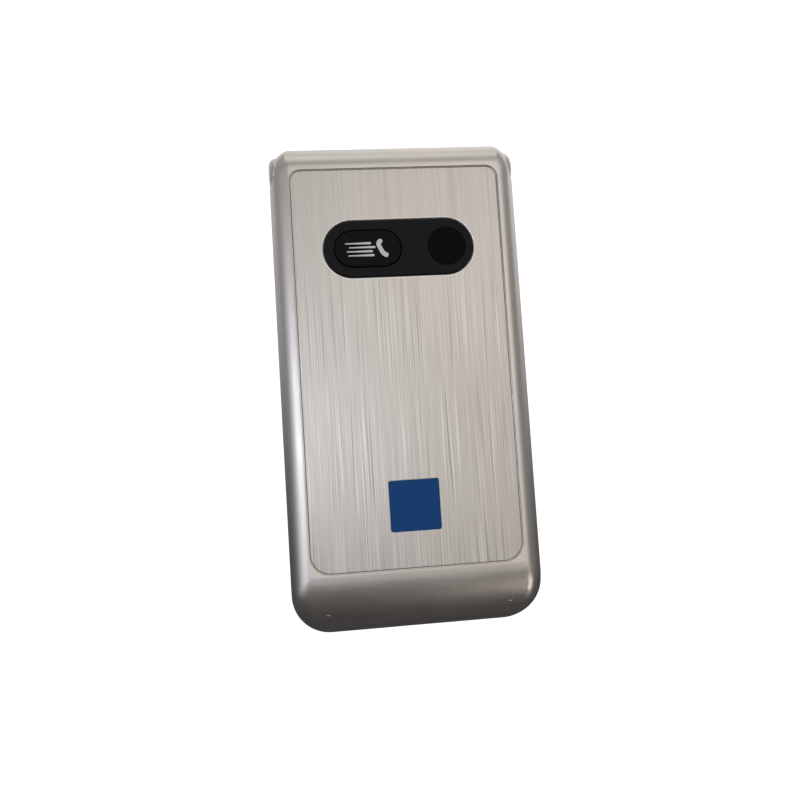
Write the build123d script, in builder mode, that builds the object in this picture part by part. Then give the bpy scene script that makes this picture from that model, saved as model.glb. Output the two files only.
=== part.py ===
"""Clamshell mobile phone, closed and lying on its back.

The frame's origin is on the surface that the phone lies on, under the middle of its box.
+X runs across the phone, +Y runs from the chin to the hinge, +Z runs up out of the lid.
The base is the keypad half. The lid is the display half and turns about the hinge axis,
which is parallel to X. All sizes are in millimetres.
"""

from build123d import *
import math
import os

os.makedirs("parts", exist_ok=True)

# ---------------------------------------------------------------- overall sizes
phone_width = 54.0
phone_length = 105.6
parting_gap = 0.3
lid_height = 8.4
chin_corner = 9.0
hinge_corner = 3.2

# ---------------------------------------------------------------- base shells
belly_radius = 3.0
base_wall = 1.3
cover_height = 3.4
cover_thickness = 1.2
cover_rim = 2.0
cover_gap = 0.1
cover_end_margin = 2.0
grip_size = (16.0, 0.9)
grip_depth = 0.3
grip_pitch = 1.8
grip_count = 6
grip_y = -36.0
cover_tongue = (9.0, 2.0, 0.8)
cover_tongue_x = 15.0
tongue_clearance = 0.15
split_drop = 0.2
base_floor = 1.0
deck_thickness = 0.75
deck_drop = 0.9
deck_side_margin = 1.5
deck_chin_margin = 3.3
deck_hinge_margin = 3.4
deck_corner = 3.0

# ---------------------------------------------------------------- lid shells
lid_wall = 1.2
lid_split_height = 2.6
lid_hinge_corner = 6.6
lid_blank_overhang = 0.15
rail_radius = 4.2
chin_roll = 13.0
chin_tuck = 0.8
chin_mitre_radius = 4.0
lid_roof = 2.0
lid_cavity_chin = 6.5
lid_cavity_hinge = 1.45
lid_cavity_corner = 6.0
lid_cavity_fillet = 1.5

# ---------------------------------------------------------------- hinge
barrel_radius = 5.4
barrel_clearance = 0.3
ear_step = 1.5
ear_width = 2.6
ear_side_gap = 0.25
ear_fillet = 1.8
ear_notch_clearance = 0.3
cap_end_slope = 0.7
neck_start = 5.1
neck_end = 3.6
neck_drop = 0.2
can_radius = 2.85
can_wall = 0.55
can_length = 16.0
press_gap = 0.05
running_gap = 0.05
shaft_radius = 1.5
cam_radius = 2.22
cam_gap = 0.08
cam_length = 2.3
spring_wall = 0.5
spring_gap = 0.3
socket_depth = 1.8
pin_radius = 2.0
pin_bore = 1.4
pin_length = 6.6
flex_radius = 1.25
flex_thickness = 0.3
flex_width = 8.0
flex_x = -11.0
flex_slot = 0.3
flex_board_gap = 0.15
flex_end_gap = 0.3
flex_overlap = 1.5

# ---------------------------------------------------------------- lid plate and window
plate_side_margin = 4.4
plate_length = 86.0
plate_top_margin = 6.1
plate_thickness = 0.5
plate_groove = 0.25
plate_drop = 0.05
plate_corner_top = 2.4
plate_corner_chin = 4.2
window_size = (32.4, 12.2)
window_x = 0.1
window_rise = 25.45
window_depth = 1.2
window_proud = 0.1
window_gap = 0.1
window_edge = 0.3
plate_chamfer = 0.2
call_pad_size = (14.4, 7.9)
call_pad_x = -6.6
call_pad_proud = 0.25
call_pad_edge = 0.35
call_pad_skirt = 0.2
call_plunger_radius = 1.5
lens_radius = 4.1
lens_x = 10.5
lens_thickness = 0.7
lens_gap = 0.1
badge_size = 10.7
badge_corner = 0.5
badge_drop = 29.85
badge_thickness = 0.3
badge_gap = 0.05

# ---------------------------------------------------------------- keys
key_travel = 0.3
key_rest_gap = 0.05
key_hole_gap = 0.2
flange_grow = 0.45
flange_thickness = 0.3
key_proud = 0.9
key_corner = 2.2
key_edge = 0.5
keypad_side_rim = 4.4
number_key_length = 9.2
number_gap = (1.6, 2.0)
number_rows = 4
number_columns = 3
number_top_y = 6.5
side_key_length = 7.4
side_key_margin = 0.9
soft_key_y = 29.4
call_key_y = 19.6
nav_centre_y = 24.0
nav_radius = 9.2
nav_side_gap = 2.3
nav_bore = 4.1
nav_drop = 0.1
ok_radius = 3.8
volume_key = (3.9, 2.4)
volume_corner = 1.0
volume_edge = 0.25
volume_flange = (0.1, 0.45)
volume_proud = 0.3
volume_ys = (-5.9, -10.25)

# ---------------------------------------------------------------- boards and inner parts
board_gap = 0.4
board_thickness = 0.7
board_corner = 1.0
dome_thickness = 0.15
dome_radius = 2.5
dome_height = 0.07
mat_thickness = 0.2
mat_gap = 0.1
mat_corner = 2.0
mat_side_margin = 0.9
mat_chin_margin = 2.0
mat_hinge_margin = 2.3
boss_radius = 1.7
screw_radius = 0.6
screw_head_radius = 1.3
screw_head_height = 0.7
screw_gap = 0.1
lid_screw_roof = 0.5
base_chin_screw = (6.0, 6.75)
base_side_screw = (3.4, 8.0)
base_hinge_screw = (5.0, 15.75)
lid_chin_screw = (7.5, 6.45)
lid_hinge_screw = (4.7, 3.45)
battery_side_margin = 8.0
battery_length = 51.0
battery_thickness = 4.2
battery_corner = 1.5
battery_edge = 0.6
battery_centre_y = -4.5
battery_gap = 0.4
battery_lift = 0.1
bay_wall = 0.8
bay_ceiling = 0.6
bay_corner = 0.5
sim_size = (15.0, 13.0, 0.9)
sim_centre = (-6.0, -14.0)
sim_lift = 0.6
sim_gap = 0.3
sim_corner = 0.4
contact_size = (9.0, 2.6)
contact_tongue = (1.0, 0.4)
contact_pitch = 3.0
contact_lift = 0.2
contact_gap = 0.3
usb_size = (5.2, 7.5, 2.35)
usb_wall = 0.3
usb_y = 26.5
usb_gap = 0.35
usb_corner = 0.5
speaker_size = (18.0, 10.0, 2.2)
speaker_margin = 2.9
speaker_corner = 1.5
speaker_gap = 0.05
slot_size = (10.0, 1.0)
slot_pitch = 1.9
slot_count = 4
can_outlines = [(16.0, 20.0, 10.0, -15.0), (14.0, 14.0, 8.0, 8.0)]
can_height = 0.55
can_corner = 0.5
antenna_side_margin = 10.0
antenna_length = 4.5
antenna_height = 1.9
antenna_margin = 5.85
antenna_corner = 1.0
mic_radius = 2.0
mic_hole_radius = 0.5
mic_margin = 7.75
mic_gap = 0.1
display_side_margin = 4.75
display_length = 66.0
display_margin = 5.95
display_thickness = 0.75
display_step = 2.0
display_inset = 0.1
display_gap = 0.1
display_corner = 1.4
panel_size = (42.0, 61.0, 1.8)
panel_corner = 0.6
lid_board_side_margin = 8.0
lid_board_length = 62.0
lid_board_margin = 2.0
lid_board_drop = 3.1
camera_block = 8.5
camera_height = 2.2
camera_barrel = 3.0
camera_gap = 0.4
camera_corner = 0.4
camera_reach = 0.2
earpiece_size = (15.0, 6.0, 2.6)
earpiece_y = -41.0
earpiece_slot = (11.0, 1.8)
earpiece_corner = 1.5
mesh_thickness = 0.3
mesh_gap = 0.05
mesh_recess = 0.4
motor_radius = 4.0
motor_height = 2.8
motor_centre = (-14.5, -36.5)
magnet_size = (5.0, 5.0, 2.0)
magnet_centre = (14.5, -40.0)
magnet_corner = 0.4
bumper_radius = 1.6
bumper_height = 0.75
bumper_centre = (21.5, -38.0)
bumper_gap = 0.05

# ---------------------------------------------------------------- places worked out
half_width = phone_width / 2
chin_y = -phone_length / 2
hinge_end_y = phone_length / 2
plate_width = phone_width - 2 * plate_side_margin
battery_size = (phone_width - 2 * battery_side_margin, battery_length, battery_thickness)
antenna_size = (phone_width - 2 * antenna_side_margin, antenna_length, antenna_height)
display_size = (phone_width - 2 * display_side_margin, display_length)
lid_board_size = (phone_width - 2 * lid_board_side_margin, lid_board_length)
battery_low_z = cover_thickness + battery_lift
battery_top_z = battery_low_z + battery_size[2]
board_z = battery_top_z + sim_lift + sim_size[2]
board_top_z = board_z + board_thickness
split_z = board_z - split_drop
floor_z = cover_height + cover_gap + base_floor
mat_z = board_top_z + dome_thickness + mat_gap
key_bottom_z = mat_z + mat_thickness + key_travel + key_rest_gap
deck_bottom_z = key_bottom_z + flange_thickness + key_rest_gap
deck_top_z = deck_bottom_z + deck_thickness
key_top_z = deck_top_z + key_proud
base_height = deck_top_z + deck_drop
deck_width = phone_width - 2 * keypad_side_rim
number_gaps_width = (number_columns - 1) * number_gap[0]
number_key_width = (deck_width - 2 * deck_side_margin - number_gaps_width) / number_columns
number_key = (number_key_width, number_key_length)
number_pitch = (number_key[0] + number_gap[0], number_key[1] + number_gap[1])
number_low_y = number_top_y - (number_rows - 1) * number_pitch[1]
side_key_start = nav_radius + nav_side_gap
side_key = (deck_width / 2 - side_key_margin - side_key_start, side_key_length)
side_key_x = side_key_start + side_key[0] / 2
deck_low_y = number_low_y - number_key[1] / 2 - deck_chin_margin
deck_high_y = soft_key_y + side_key[1] / 2 + deck_hinge_margin
lid_bottom_z = base_height + parting_gap
lid_split_z = lid_bottom_z + lid_split_height
lid_top_z = lid_bottom_z + lid_height
hinge_y = hinge_end_y - barrel_radius
hinge_z = lid_top_z - barrel_radius
ear_radius = barrel_radius - ear_step
ear_inner_x = half_width - ear_width
barrel_half = ear_inner_x - ear_side_gap
trough_radius = barrel_radius + barrel_clearance
cap_cut_reach = 2 * barrel_radius
trough_z = hinge_z - trough_radius
plate_y = hinge_end_y - plate_top_margin - plate_length / 2
plate_top_z = lid_top_z - plate_drop
plate_low_z = plate_top_z - plate_thickness
window_top_z = lid_top_z + window_proud
window_low_z = window_top_z - window_depth
lid_ceiling_z = lid_top_z - lid_roof
lid_floor_z = lid_bottom_z + lid_wall
lid_board_z = lid_ceiling_z - lid_board_drop
lid_shell_end_y = hinge_y - barrel_radius
display_centre_y = lid_shell_end_y - display_margin - display_size[1] / 2
lid_cavity_end_y = lid_shell_end_y - lid_cavity_hinge
lid_board_y = lid_cavity_end_y - lid_board_margin - lid_board_size[1] / 2
flex_tail_z = lid_board_z - flex_board_gap - flex_thickness / 2
window_y = plate_y + window_rise
window_centre = (window_x, window_y)
call_pad_centre = (call_pad_x, window_y)
lens_centre = (lens_x, window_y)
badge_centre = (0, plate_y - badge_drop)
display_low_z = lid_bottom_z + display_inset
display_top_z = display_low_z + display_thickness
hinge_line = Plane(origin=(0, hinge_y, hinge_z), x_dir=(0, 1, 0), z_dir=(1, 0, 0))


# ---------------------------------------------------------------- shapes used more than once
def block(size, corner, low, high, centre=(0, 0), mode=Mode.ADD):
    """An upright block with round corners between two heights, in the open part."""
    with BuildSketch(Plane.XY.offset(low)) as outline:
        with Locations(centre):
            RectangleRounded(size[0], size[1], corner)
    extrude(outline.sketch, amount=high - low, mode=mode)


def cut_slab(low, high):
    """Takes everything between two heights from the open part."""
    with Locations((0, 0, low)):
        Box(
            2 * phone_width,
            2 * phone_length,
            high - low,
            align=(Align.CENTER, Align.CENTER, Align.MIN),
            mode=Mode.SUBTRACT,
        )


def disc(radius, low, high, centre=(0, 0), mode=Mode.ADD):
    """An upright cylinder between two heights, in the open part."""
    with BuildSketch(Plane.XY.offset(low)) as outline:
        with Locations(centre):
            Circle(radius)
    extrude(outline.sketch, amount=high - low, mode=mode)


def stadium(size, grow, low, high, centre, mode=Mode.ADD):
    """An upright block with full round ends, grown by a margin, in the open part."""
    with BuildSketch(Plane.XY.offset(low)) as outline:
        with Locations(centre):
            SlotOverall(size[0] + 2 * grow, size[1] + 2 * grow)
    extrude(outline.sketch, amount=high - low, mode=mode)


def plan_block(inset, low, high, end_y=hinge_end_y, end_corner=hinge_corner, mode=Mode.ADD):
    """The phone's plan drawn in by an inset, between two heights, in the open part."""
    side = half_width - inset
    with BuildSketch(Plane.XY.offset(low)) as outline:
        with BuildLine():
            Polyline(
                (-side, chin_y + inset),
                (side, chin_y + inset),
                (side, end_y - inset),
                (-side, end_y - inset),
                close=True,
            )
        make_face()
        fillet(outline.vertices().group_by(Axis.Y)[0], chin_corner - inset)
        fillet(outline.vertices().group_by(Axis.Y)[-1], end_corner - inset)
    extrude(outline.sketch, amount=high - low, mode=mode)


def plate_block(grow, low, high, mode=Mode.ADD):
    """The decorative plate's outline grown by a margin, in the open part."""
    side = plate_width / 2 + grow
    reach = plate_length / 2 + grow
    with BuildSketch(Plane.XY.offset(low)) as outline:
        with BuildLine():
            Polyline(
                (-side, plate_y - reach),
                (side, plate_y - reach),
                (side, plate_y + reach),
                (-side, plate_y + reach),
                close=True,
            )
        make_face()
        fillet(outline.vertices().group_by(Axis.Y)[0], plate_corner_chin + grow)
        fillet(outline.vertices().group_by(Axis.Y)[-1], plate_corner_top + grow)
    extrude(outline.sketch, amount=high - low, mode=mode)


def hinge_round(radius, start_x, end_x, mode=Mode.ADD):
    """A cylinder on the hinge axis between two stations along it, in the open part."""
    with BuildSketch(hinge_line.offset(start_x)) as outline:
        Circle(radius)
    extrude(outline.sketch, amount=end_x - start_x, mode=mode)


def mirrored(points):
    """Each point and its mirror image across the phone."""
    return [(sign * x, y) for x, y in points for sign in (-1, 1)]


def save(part, name):
    """Label a finished piece and write its file."""
    part.label = name
    export_step(part, f"parts/{name}.step")


# ---------------------------------------------------------------- base outer form
with BuildPart() as base_form:
    plan_block(0, 0, base_height)
    fillet(base_form.faces().sort_by(Axis.Z)[0].edges(), belly_radius)

base_screw_points = mirrored([
    (half_width - base_chin_screw[0], chin_y + base_chin_screw[1]),
    (half_width - base_side_screw[0], base_side_screw[1]),
    (half_width - base_hinge_screw[0], hinge_end_y - base_hinge_screw[1]),
])
lid_screw_points = mirrored([
    (half_width - lid_chin_screw[0], chin_y + lid_chin_screw[1]),
    (half_width - lid_hinge_screw[0], lid_shell_end_y - lid_hinge_screw[1]),
])
antenna_y = chin_y + antenna_margin
mic_y = chin_y + mic_margin

# ---------------------------------------------------------------- keypad layout
key_outlines = {
    "soft_key_left": (side_key, (-side_key_x, soft_key_y)),
    "soft_key_right": (side_key, (side_key_x, soft_key_y)),
    "call_key": (side_key, (-side_key_x, call_key_y)),
    "end_key": (side_key, (side_key_x, call_key_y)),
}
number_names = ["1", "2", "3", "4", "5", "6", "7", "8", "9", "star", "0", "hash"]
for place, number_name in enumerate(number_names):
    column_x = (place % number_columns - 1) * number_pitch[0]
    row_y = number_top_y - (place // number_columns) * number_pitch[1]
    key_outlines[f"number_key_{number_name}"] = (number_key, (column_x, row_y))

# ---------------------------------------------------------------- battery cover
bay_size = (battery_size[0] + 2 * battery_gap, battery_size[1] + 2 * battery_gap)
bay_centre = (0, battery_centre_y)
bay_ceiling_z = battery_top_z + 2 * battery_lift
bay_end_y = battery_centre_y + bay_size[1] / 2
contact_y = bay_end_y + bay_wall + sim_gap
speaker_y = contact_y + contact_size[1] + speaker_margin + speaker_size[1] / 2
cover_end_y = speaker_y + speaker_size[1] / 2 + cover_end_margin
slot_offsets = [(place - (slot_count - 1) / 2) * slot_pitch for place in range(slot_count)]
slot_centres = [(0, speaker_y + offset) for offset in slot_offsets]
grip_centres = [(0, grip_y - place * grip_pitch) for place in range(grip_count)]

with BuildPart() as rear_cover:
    add(base_form.part)
    cut_slab(cover_height, base_height)
    with Locations((0, cover_end_y, 0)):
        Box(
            phone_width,
            phone_length,
            base_height,
            align=(Align.CENTER, Align.MIN, Align.MIN),
            mode=Mode.SUBTRACT,
        )
    plan_block(cover_rim, cover_thickness, base_height, mode=Mode.SUBTRACT)
    for slot_centre in slot_centres:
        stadium(slot_size, 0, 0, cover_thickness, slot_centre, mode=Mode.SUBTRACT)
    for grip_centre in grip_centres:
        stadium(grip_size, 0, 0, grip_depth, grip_centre, mode=Mode.SUBTRACT)
    with Locations(
        (-cover_tongue_x, cover_end_y, cover_thickness),
        (cover_tongue_x, cover_end_y, cover_thickness),
    ):
        Box(
            cover_tongue[0],
            2 * cover_tongue[1],
            cover_tongue[2],
            align=(Align.CENTER, Align.CENTER, Align.MIN),
        )
save(rear_cover.part, "rear_cover")

# ---------------------------------------------------------------- battery and rear housing
with BuildPart() as battery:
    block(battery_size, battery_corner, battery_low_z, battery_top_z, bay_centre)
    fillet(battery.faces().sort_by(Axis.Z)[-1].edges(), battery_edge)
save(battery.part, "battery")

with BuildPart() as rear_housing:
    add(base_form.part)
    cut_slab(split_z, base_height)
    with Locations((0, cover_end_y + cover_gap, 0)):
        Box(
            phone_width,
            2 * phone_length,
            cover_height + cover_gap,
            align=(Align.CENTER, Align.MAX, Align.MIN),
            mode=Mode.SUBTRACT,
        )
    plan_block(base_wall, floor_z, split_z, mode=Mode.SUBTRACT)
    hinge_round(trough_radius, -ear_inner_x, ear_inner_x, mode=Mode.SUBTRACT)
    block(
        (bay_size[0] + 2 * bay_wall, bay_size[1] + 2 * bay_wall),
        bay_corner + bay_wall,
        floor_z - base_floor,
        bay_ceiling_z + bay_ceiling,
        bay_centre,
    )
    block(bay_size, bay_corner, 0, bay_ceiling_z, bay_centre, mode=Mode.SUBTRACT)
    block(
        (sim_size[0] + 2 * sim_gap, sim_size[1] + 2 * sim_gap),
        bay_corner,
        battery_top_z,
        split_z,
        sim_centre,
        mode=Mode.SUBTRACT,
    )
    with Locations((0, bay_end_y, floor_z)):
        Box(
            contact_size[0] + 2 * sim_gap,
            4 * bay_wall,
            bay_ceiling_z - floor_z,
            align=(Align.CENTER, Align.CENTER, Align.MIN),
            mode=Mode.SUBTRACT,
        )
    for screw_point in base_screw_points:
        disc(boss_radius, floor_z, split_z, screw_point)
        disc(
            screw_head_radius + screw_gap,
            floor_z - base_floor,
            floor_z - base_floor + screw_head_height + screw_gap,
            screw_point,
            mode=Mode.SUBTRACT,
        )
        disc(screw_radius + screw_gap, 0, split_z, screw_point, mode=Mode.SUBTRACT)
    for slot_centre in slot_centres:
        stadium(slot_size, 0, 0, floor_z, slot_centre, mode=Mode.SUBTRACT)
    with Locations(
        (-cover_tongue_x, cover_end_y, cover_thickness - tongue_clearance),
        (cover_tongue_x, cover_end_y, cover_thickness - tongue_clearance),
    ):
        Box(
            cover_tongue[0] + 2 * tongue_clearance,
            2 * (cover_tongue[1] + tongue_clearance),
            cover_tongue[2] + 2 * tongue_clearance,
            align=(Align.CENTER, Align.CENTER, Align.MIN),
            mode=Mode.SUBTRACT,
        )
    with Locations((-half_width, usb_y, board_z - usb_size[2] - usb_gap)):
        Box(
            4 * base_wall,
            usb_size[1] + 2 * usb_gap,
            usb_size[2] + 2 * usb_gap,
            align=(Align.CENTER, Align.CENTER, Align.MIN),
            mode=Mode.SUBTRACT,
        )
    with Locations(*[(-half_width, volume_y, split_z) for volume_y in volume_ys]):
        Box(
            4 * base_wall,
            volume_key[0] + key_hole_gap,
            volume_key[1] + key_hole_gap,
            mode=Mode.SUBTRACT,
        )
save(rear_housing.part, "rear_housing")

# ---------------------------------------------------------------- keypad housing with ears
with BuildPart() as ear_pair:
    hinge_round(ear_radius, -half_width, half_width)
    fillet(ear_pair.edges().filter_by(GeomType.CIRCLE), ear_fillet)
    with Locations((0, hinge_y - neck_start, trough_z)):
        Box(
            phone_width,
            neck_start - neck_end,
            trough_radius - neck_drop,
            align=(Align.CENTER, Align.MIN, Align.MIN),
        )
    hinge_round(2 * trough_radius, -ear_inner_x, ear_inner_x, mode=Mode.SUBTRACT)

with BuildPart() as keypad_housing:
    add(base_form.part)
    cut_slab(0, split_z)
    plan_block(
        base_wall,
        split_z,
        deck_bottom_z,
        end_y=hinge_y - trough_radius,
        mode=Mode.SUBTRACT,
    )
    block(
        (deck_width, deck_high_y - deck_low_y),
        deck_corner,
        deck_top_z,
        base_height,
        (0, (deck_low_y + deck_high_y) / 2),
        mode=Mode.SUBTRACT,
    )
    with Locations((0, hinge_y, trough_z)):
        Box(
            phone_width,
            phone_length,
            base_height,
            align=(Align.CENTER, Align.MIN, Align.MIN),
            mode=Mode.SUBTRACT,
        )
    hinge_round(trough_radius, -half_width, half_width, mode=Mode.SUBTRACT)
    add(ear_pair.part)
    for ear_sign in (-1, 1):
        hinge_round(
            pin_radius + running_gap / 2,
            ear_sign * ear_inner_x,
            ear_sign * (ear_inner_x + socket_depth),
            mode=Mode.SUBTRACT,
        )
    for key_size, key_centre in key_outlines.values():
        block(
            (key_size[0] + 2 * key_hole_gap, key_size[1] + 2 * key_hole_gap),
            key_corner,
            deck_bottom_z,
            deck_top_z,
            key_centre,
            mode=Mode.SUBTRACT,
        )
    disc(
        nav_radius + key_hole_gap,
        deck_bottom_z,
        deck_top_z,
        (0, nav_centre_y),
        mode=Mode.SUBTRACT,
    )
    for screw_point in base_screw_points:
        disc(boss_radius, split_z, deck_bottom_z, screw_point)
        disc(screw_radius, split_z, deck_bottom_z, screw_point, mode=Mode.SUBTRACT)
    disc(mic_hole_radius, deck_bottom_z, base_height, (0, mic_y), mode=Mode.SUBTRACT)
    with Locations((-half_width, usb_y, board_z - usb_size[2] - usb_gap)):
        Box(
            4 * base_wall,
            usb_size[1] + 2 * usb_gap,
            usb_size[2] + 2 * usb_gap,
            align=(Align.CENTER, Align.CENTER, Align.MIN),
            mode=Mode.SUBTRACT,
        )
    with Locations(*[(-half_width, volume_y, split_z) for volume_y in volume_ys]):
        Box(
            4 * base_wall,
            volume_key[0] + key_hole_gap,
            volume_key[1] + key_hole_gap,
            mode=Mode.SUBTRACT,
        )
save(keypad_housing.part, "keypad_housing")


# ---------------------------------------------------------------- keys of the keypad
def press_key(size, centre):
    """A key cap with the flange that holds it under the deck."""
    with BuildPart() as cap:
        block(size, key_corner, key_bottom_z, key_top_z, centre)
        fillet(cap.faces().sort_by(Axis.Z)[-1].edges(), key_edge)
        block(
            (size[0] + 2 * flange_grow, size[1] + 2 * flange_grow),
            key_corner,
            key_bottom_z,
            key_bottom_z + flange_thickness,
            centre,
        )
    return cap.part


for key_name, (key_size, key_centre) in key_outlines.items():
    save(press_key(key_size, key_centre), key_name)

with BuildPart() as nav_ring:
    disc(nav_radius, key_bottom_z, key_top_z - nav_drop, (0, nav_centre_y))
    fillet(nav_ring.faces().sort_by(Axis.Z)[-1].edges(), key_edge)
    disc(
        nav_radius + flange_grow,
        key_bottom_z,
        key_bottom_z + flange_thickness,
        (0, nav_centre_y),
    )
    disc(nav_bore, 0, lid_top_z, (0, nav_centre_y), mode=Mode.SUBTRACT)
save(nav_ring.part, "nav_ring")

with BuildPart() as ok_key:
    disc(ok_radius, key_bottom_z, key_top_z, (0, nav_centre_y))
    fillet(ok_key.faces().sort_by(Axis.Z)[-1].edges(), key_edge)
save(ok_key.part, "ok_key")

# ---------------------------------------------------------------- volume keys on the side
side_plane = Plane(origin=(-half_width - volume_proud, 0, 0), x_dir=(0, 1, 0), z_dir=(1, 0, 0))
for volume_name, volume_y in zip(("volume_up_key", "volume_down_key"), volume_ys):
    with BuildPart() as volume_cap:
        with BuildSketch(side_plane):
            with Locations((volume_y, split_z)):
                RectangleRounded(volume_key[0], volume_key[1], volume_corner)
        extrude(amount=volume_proud + base_wall + key_rest_gap)
        fillet(volume_cap.faces().sort_by(Axis.X)[0].edges(), volume_edge)
        with BuildSketch(side_plane.offset(volume_proud + base_wall + key_rest_gap)):
            with Locations((volume_y, split_z)):
                Rectangle(
                    volume_key[0] + 2 * volume_flange[0],
                    volume_key[1] + 2 * volume_flange[1],
                )
        extrude(amount=flange_thickness)
    save(volume_cap.part, volume_name)

# ---------------------------------------------------------------- main board and its parts
with BuildPart() as main_board:
    plan_block(
        base_wall + board_gap,
        board_z,
        board_top_z,
        end_y=hinge_y - trough_radius,
    )
    for screw_point in base_screw_points:
        disc(boss_radius + board_gap, 0, board_top_z, screw_point, mode=Mode.SUBTRACT)
    with Locations((-half_width, sum(volume_ys) / 2, board_z)):
        Box(
            2 * (base_wall + board_gap + 2 * key_travel + flange_thickness),
            3 * volume_key[0],
            4 * board_thickness,
            mode=Mode.SUBTRACT,
        )
save(main_board.part, "main_board")

with BuildPart() as shield_cans:
    for can_width, can_length_y, can_x, can_y in can_outlines:
        can_outline = (can_width, can_length_y)
        block(can_outline, can_corner, board_z - can_height, board_z, (can_x, can_y))
save(shield_cans.part, "shield_cans")

mat_width = deck_width - 2 * mat_side_margin
mat_low_y = deck_low_y + mat_chin_margin
mat_high_y = deck_high_y - mat_hinge_margin
mat_length = mat_high_y - mat_low_y
mat_centre = (0, (mat_high_y + mat_low_y) / 2)
with BuildPart() as dome_sheet:
    block(
        (mat_width, mat_length),
        mat_corner,
        board_top_z,
        board_top_z + dome_thickness,
        mat_centre,
    )
    for key_size, key_centre in key_outlines.values():
        disc(dome_radius, board_top_z, board_top_z + dome_thickness + dome_height, key_centre)
    disc(
        dome_radius,
        board_top_z,
        board_top_z + dome_thickness + dome_height,
        (0, nav_centre_y),
    )
save(dome_sheet.part, "dome_sheet")

with BuildPart() as keypad_mat:
    block((mat_width, mat_length), mat_corner, mat_z, mat_z + mat_thickness, mat_centre)
save(keypad_mat.part, "keypad_mat")

with BuildPart() as sim_holder:
    block(sim_size, sim_corner, board_z - sim_size[2], board_z, sim_centre)
save(sim_holder.part, "sim_holder")

with BuildPart() as battery_contacts:
    tongue_z = floor_z + contact_lift
    with Locations((0, contact_y, tongue_z)):
        Box(
            contact_size[0],
            contact_size[1],
            board_z - tongue_z,
            align=(Align.CENTER, Align.MIN, Align.MIN),
        )
    with Locations(*[(step * contact_pitch, contact_y, tongue_z) for step in (-1, 0, 1)]):
        Box(
            contact_tongue[0],
            bay_wall + sim_gap + battery_gap - contact_gap,
            contact_tongue[1],
            align=(Align.CENTER, Align.MAX, Align.MIN),
        )
save(battery_contacts.part, "battery_contacts")

with BuildPart() as usb_socket:
    usb_x = -half_width + board_gap
    with Locations((usb_x, usb_y, board_z)):
        Box(*usb_size, align=(Align.MIN, Align.CENTER, Align.MAX))
    fillet(usb_socket.edges().filter_by(Axis.X), usb_corner)
    with Locations((usb_x, usb_y, board_z - usb_wall)):
        Box(
            usb_size[0] - usb_wall,
            usb_size[1] - 2 * usb_wall,
            usb_size[2] - 2 * usb_wall,
            align=(Align.MIN, Align.CENTER, Align.MAX),
            mode=Mode.SUBTRACT,
        )
    with Locations((usb_x + usb_size[0] - usb_wall, usb_y, board_z - usb_size[2] / 2)):
        Box(
            usb_size[0] - 4 * usb_wall,
            usb_size[1] / 2,
            2 * usb_wall,
            align=(Align.MAX, Align.CENTER, Align.CENTER),
        )
save(usb_socket.part, "usb_socket")

with BuildPart() as loudspeaker:
    speaker_low_z = floor_z + speaker_gap
    block(
        speaker_size,
        speaker_corner,
        speaker_low_z,
        speaker_low_z + speaker_size[2],
        (0, speaker_y),
    )
save(loudspeaker.part, "loudspeaker")

with BuildPart() as antenna:
    block(antenna_size, antenna_corner, floor_z, floor_z + antenna_size[2], (0, antenna_y))
save(antenna.part, "antenna")

with BuildPart() as microphone:
    disc(mic_radius, board_top_z, deck_bottom_z - mic_gap, (0, mic_y))
save(microphone.part, "microphone")

with BuildPart() as case_screws:
    for screw_point in base_screw_points:
        head_z = floor_z - base_floor + screw_gap
        disc(screw_head_radius, head_z, head_z + screw_head_height, screw_point)
        disc(screw_radius, head_z, deck_bottom_z, screw_point)
save(case_screws.part, "case_screws")

# ---------------------------------------------------------------- lid outer form
chin_tuck_angle = math.degrees(math.asin(chin_tuck / (lid_height + chin_tuck)))
barrel_drop = hinge_z - lid_bottom_z
barrel_turn = 270 - math.degrees(math.asin(barrel_drop / barrel_radius))
barrel_meet_y = hinge_y - math.sqrt(barrel_radius**2 - barrel_drop**2)

with BuildPart() as lid_blank:
    plan_block(
        0,
        hinge_z - barrel_radius,
        lid_top_z,
        end_y=hinge_end_y + lid_blank_overhang,
        end_corner=lid_hinge_corner,
    )
    fillet(lid_blank.faces().sort_by(Axis.Z)[-1].edges(), rail_radius)

with BuildPart() as lid_form:
    with BuildSketch(Plane.YZ):
        with BuildLine():
            chin_arc = EllipticalCenterArc(
                (chin_y + chin_roll, lid_bottom_z - chin_tuck),
                chin_roll,
                lid_height + chin_tuck,
                start_angle=180 - chin_tuck_angle,
                arc_size=chin_tuck_angle - 90,
            )
            Line(chin_arc @ 1, (hinge_y, lid_top_z))
            CenterArc((hinge_y, hinge_z), barrel_radius, 90, -barrel_turn)
            Line((barrel_meet_y, lid_bottom_z), chin_arc @ 0)
        make_face()
    extrude(amount=half_width, both=True)
    add(lid_blank.part, mode=Mode.INTERSECT)
    chin_mitres = lid_form.edges().filter_by(GeomType.BSPLINE)
    fillet(
        chin_mitres.filter_by(lambda edge: edge.center().Y < chin_y + chin_roll),
        chin_mitre_radius,
    )

# ---------------------------------------------------------------- lid outer shell
with BuildPart() as lid_cavity:
    block(
        (phone_width - 2 * lid_wall, lid_cavity_end_y - chin_y - lid_cavity_chin),
        lid_cavity_corner,
        lid_split_z,
        lid_ceiling_z,
        (0, (lid_cavity_end_y + chin_y + lid_cavity_chin) / 2),
    )
    fillet(lid_cavity.faces().sort_by(Axis.Z)[-1].edges(), lid_cavity_fillet)

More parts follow.
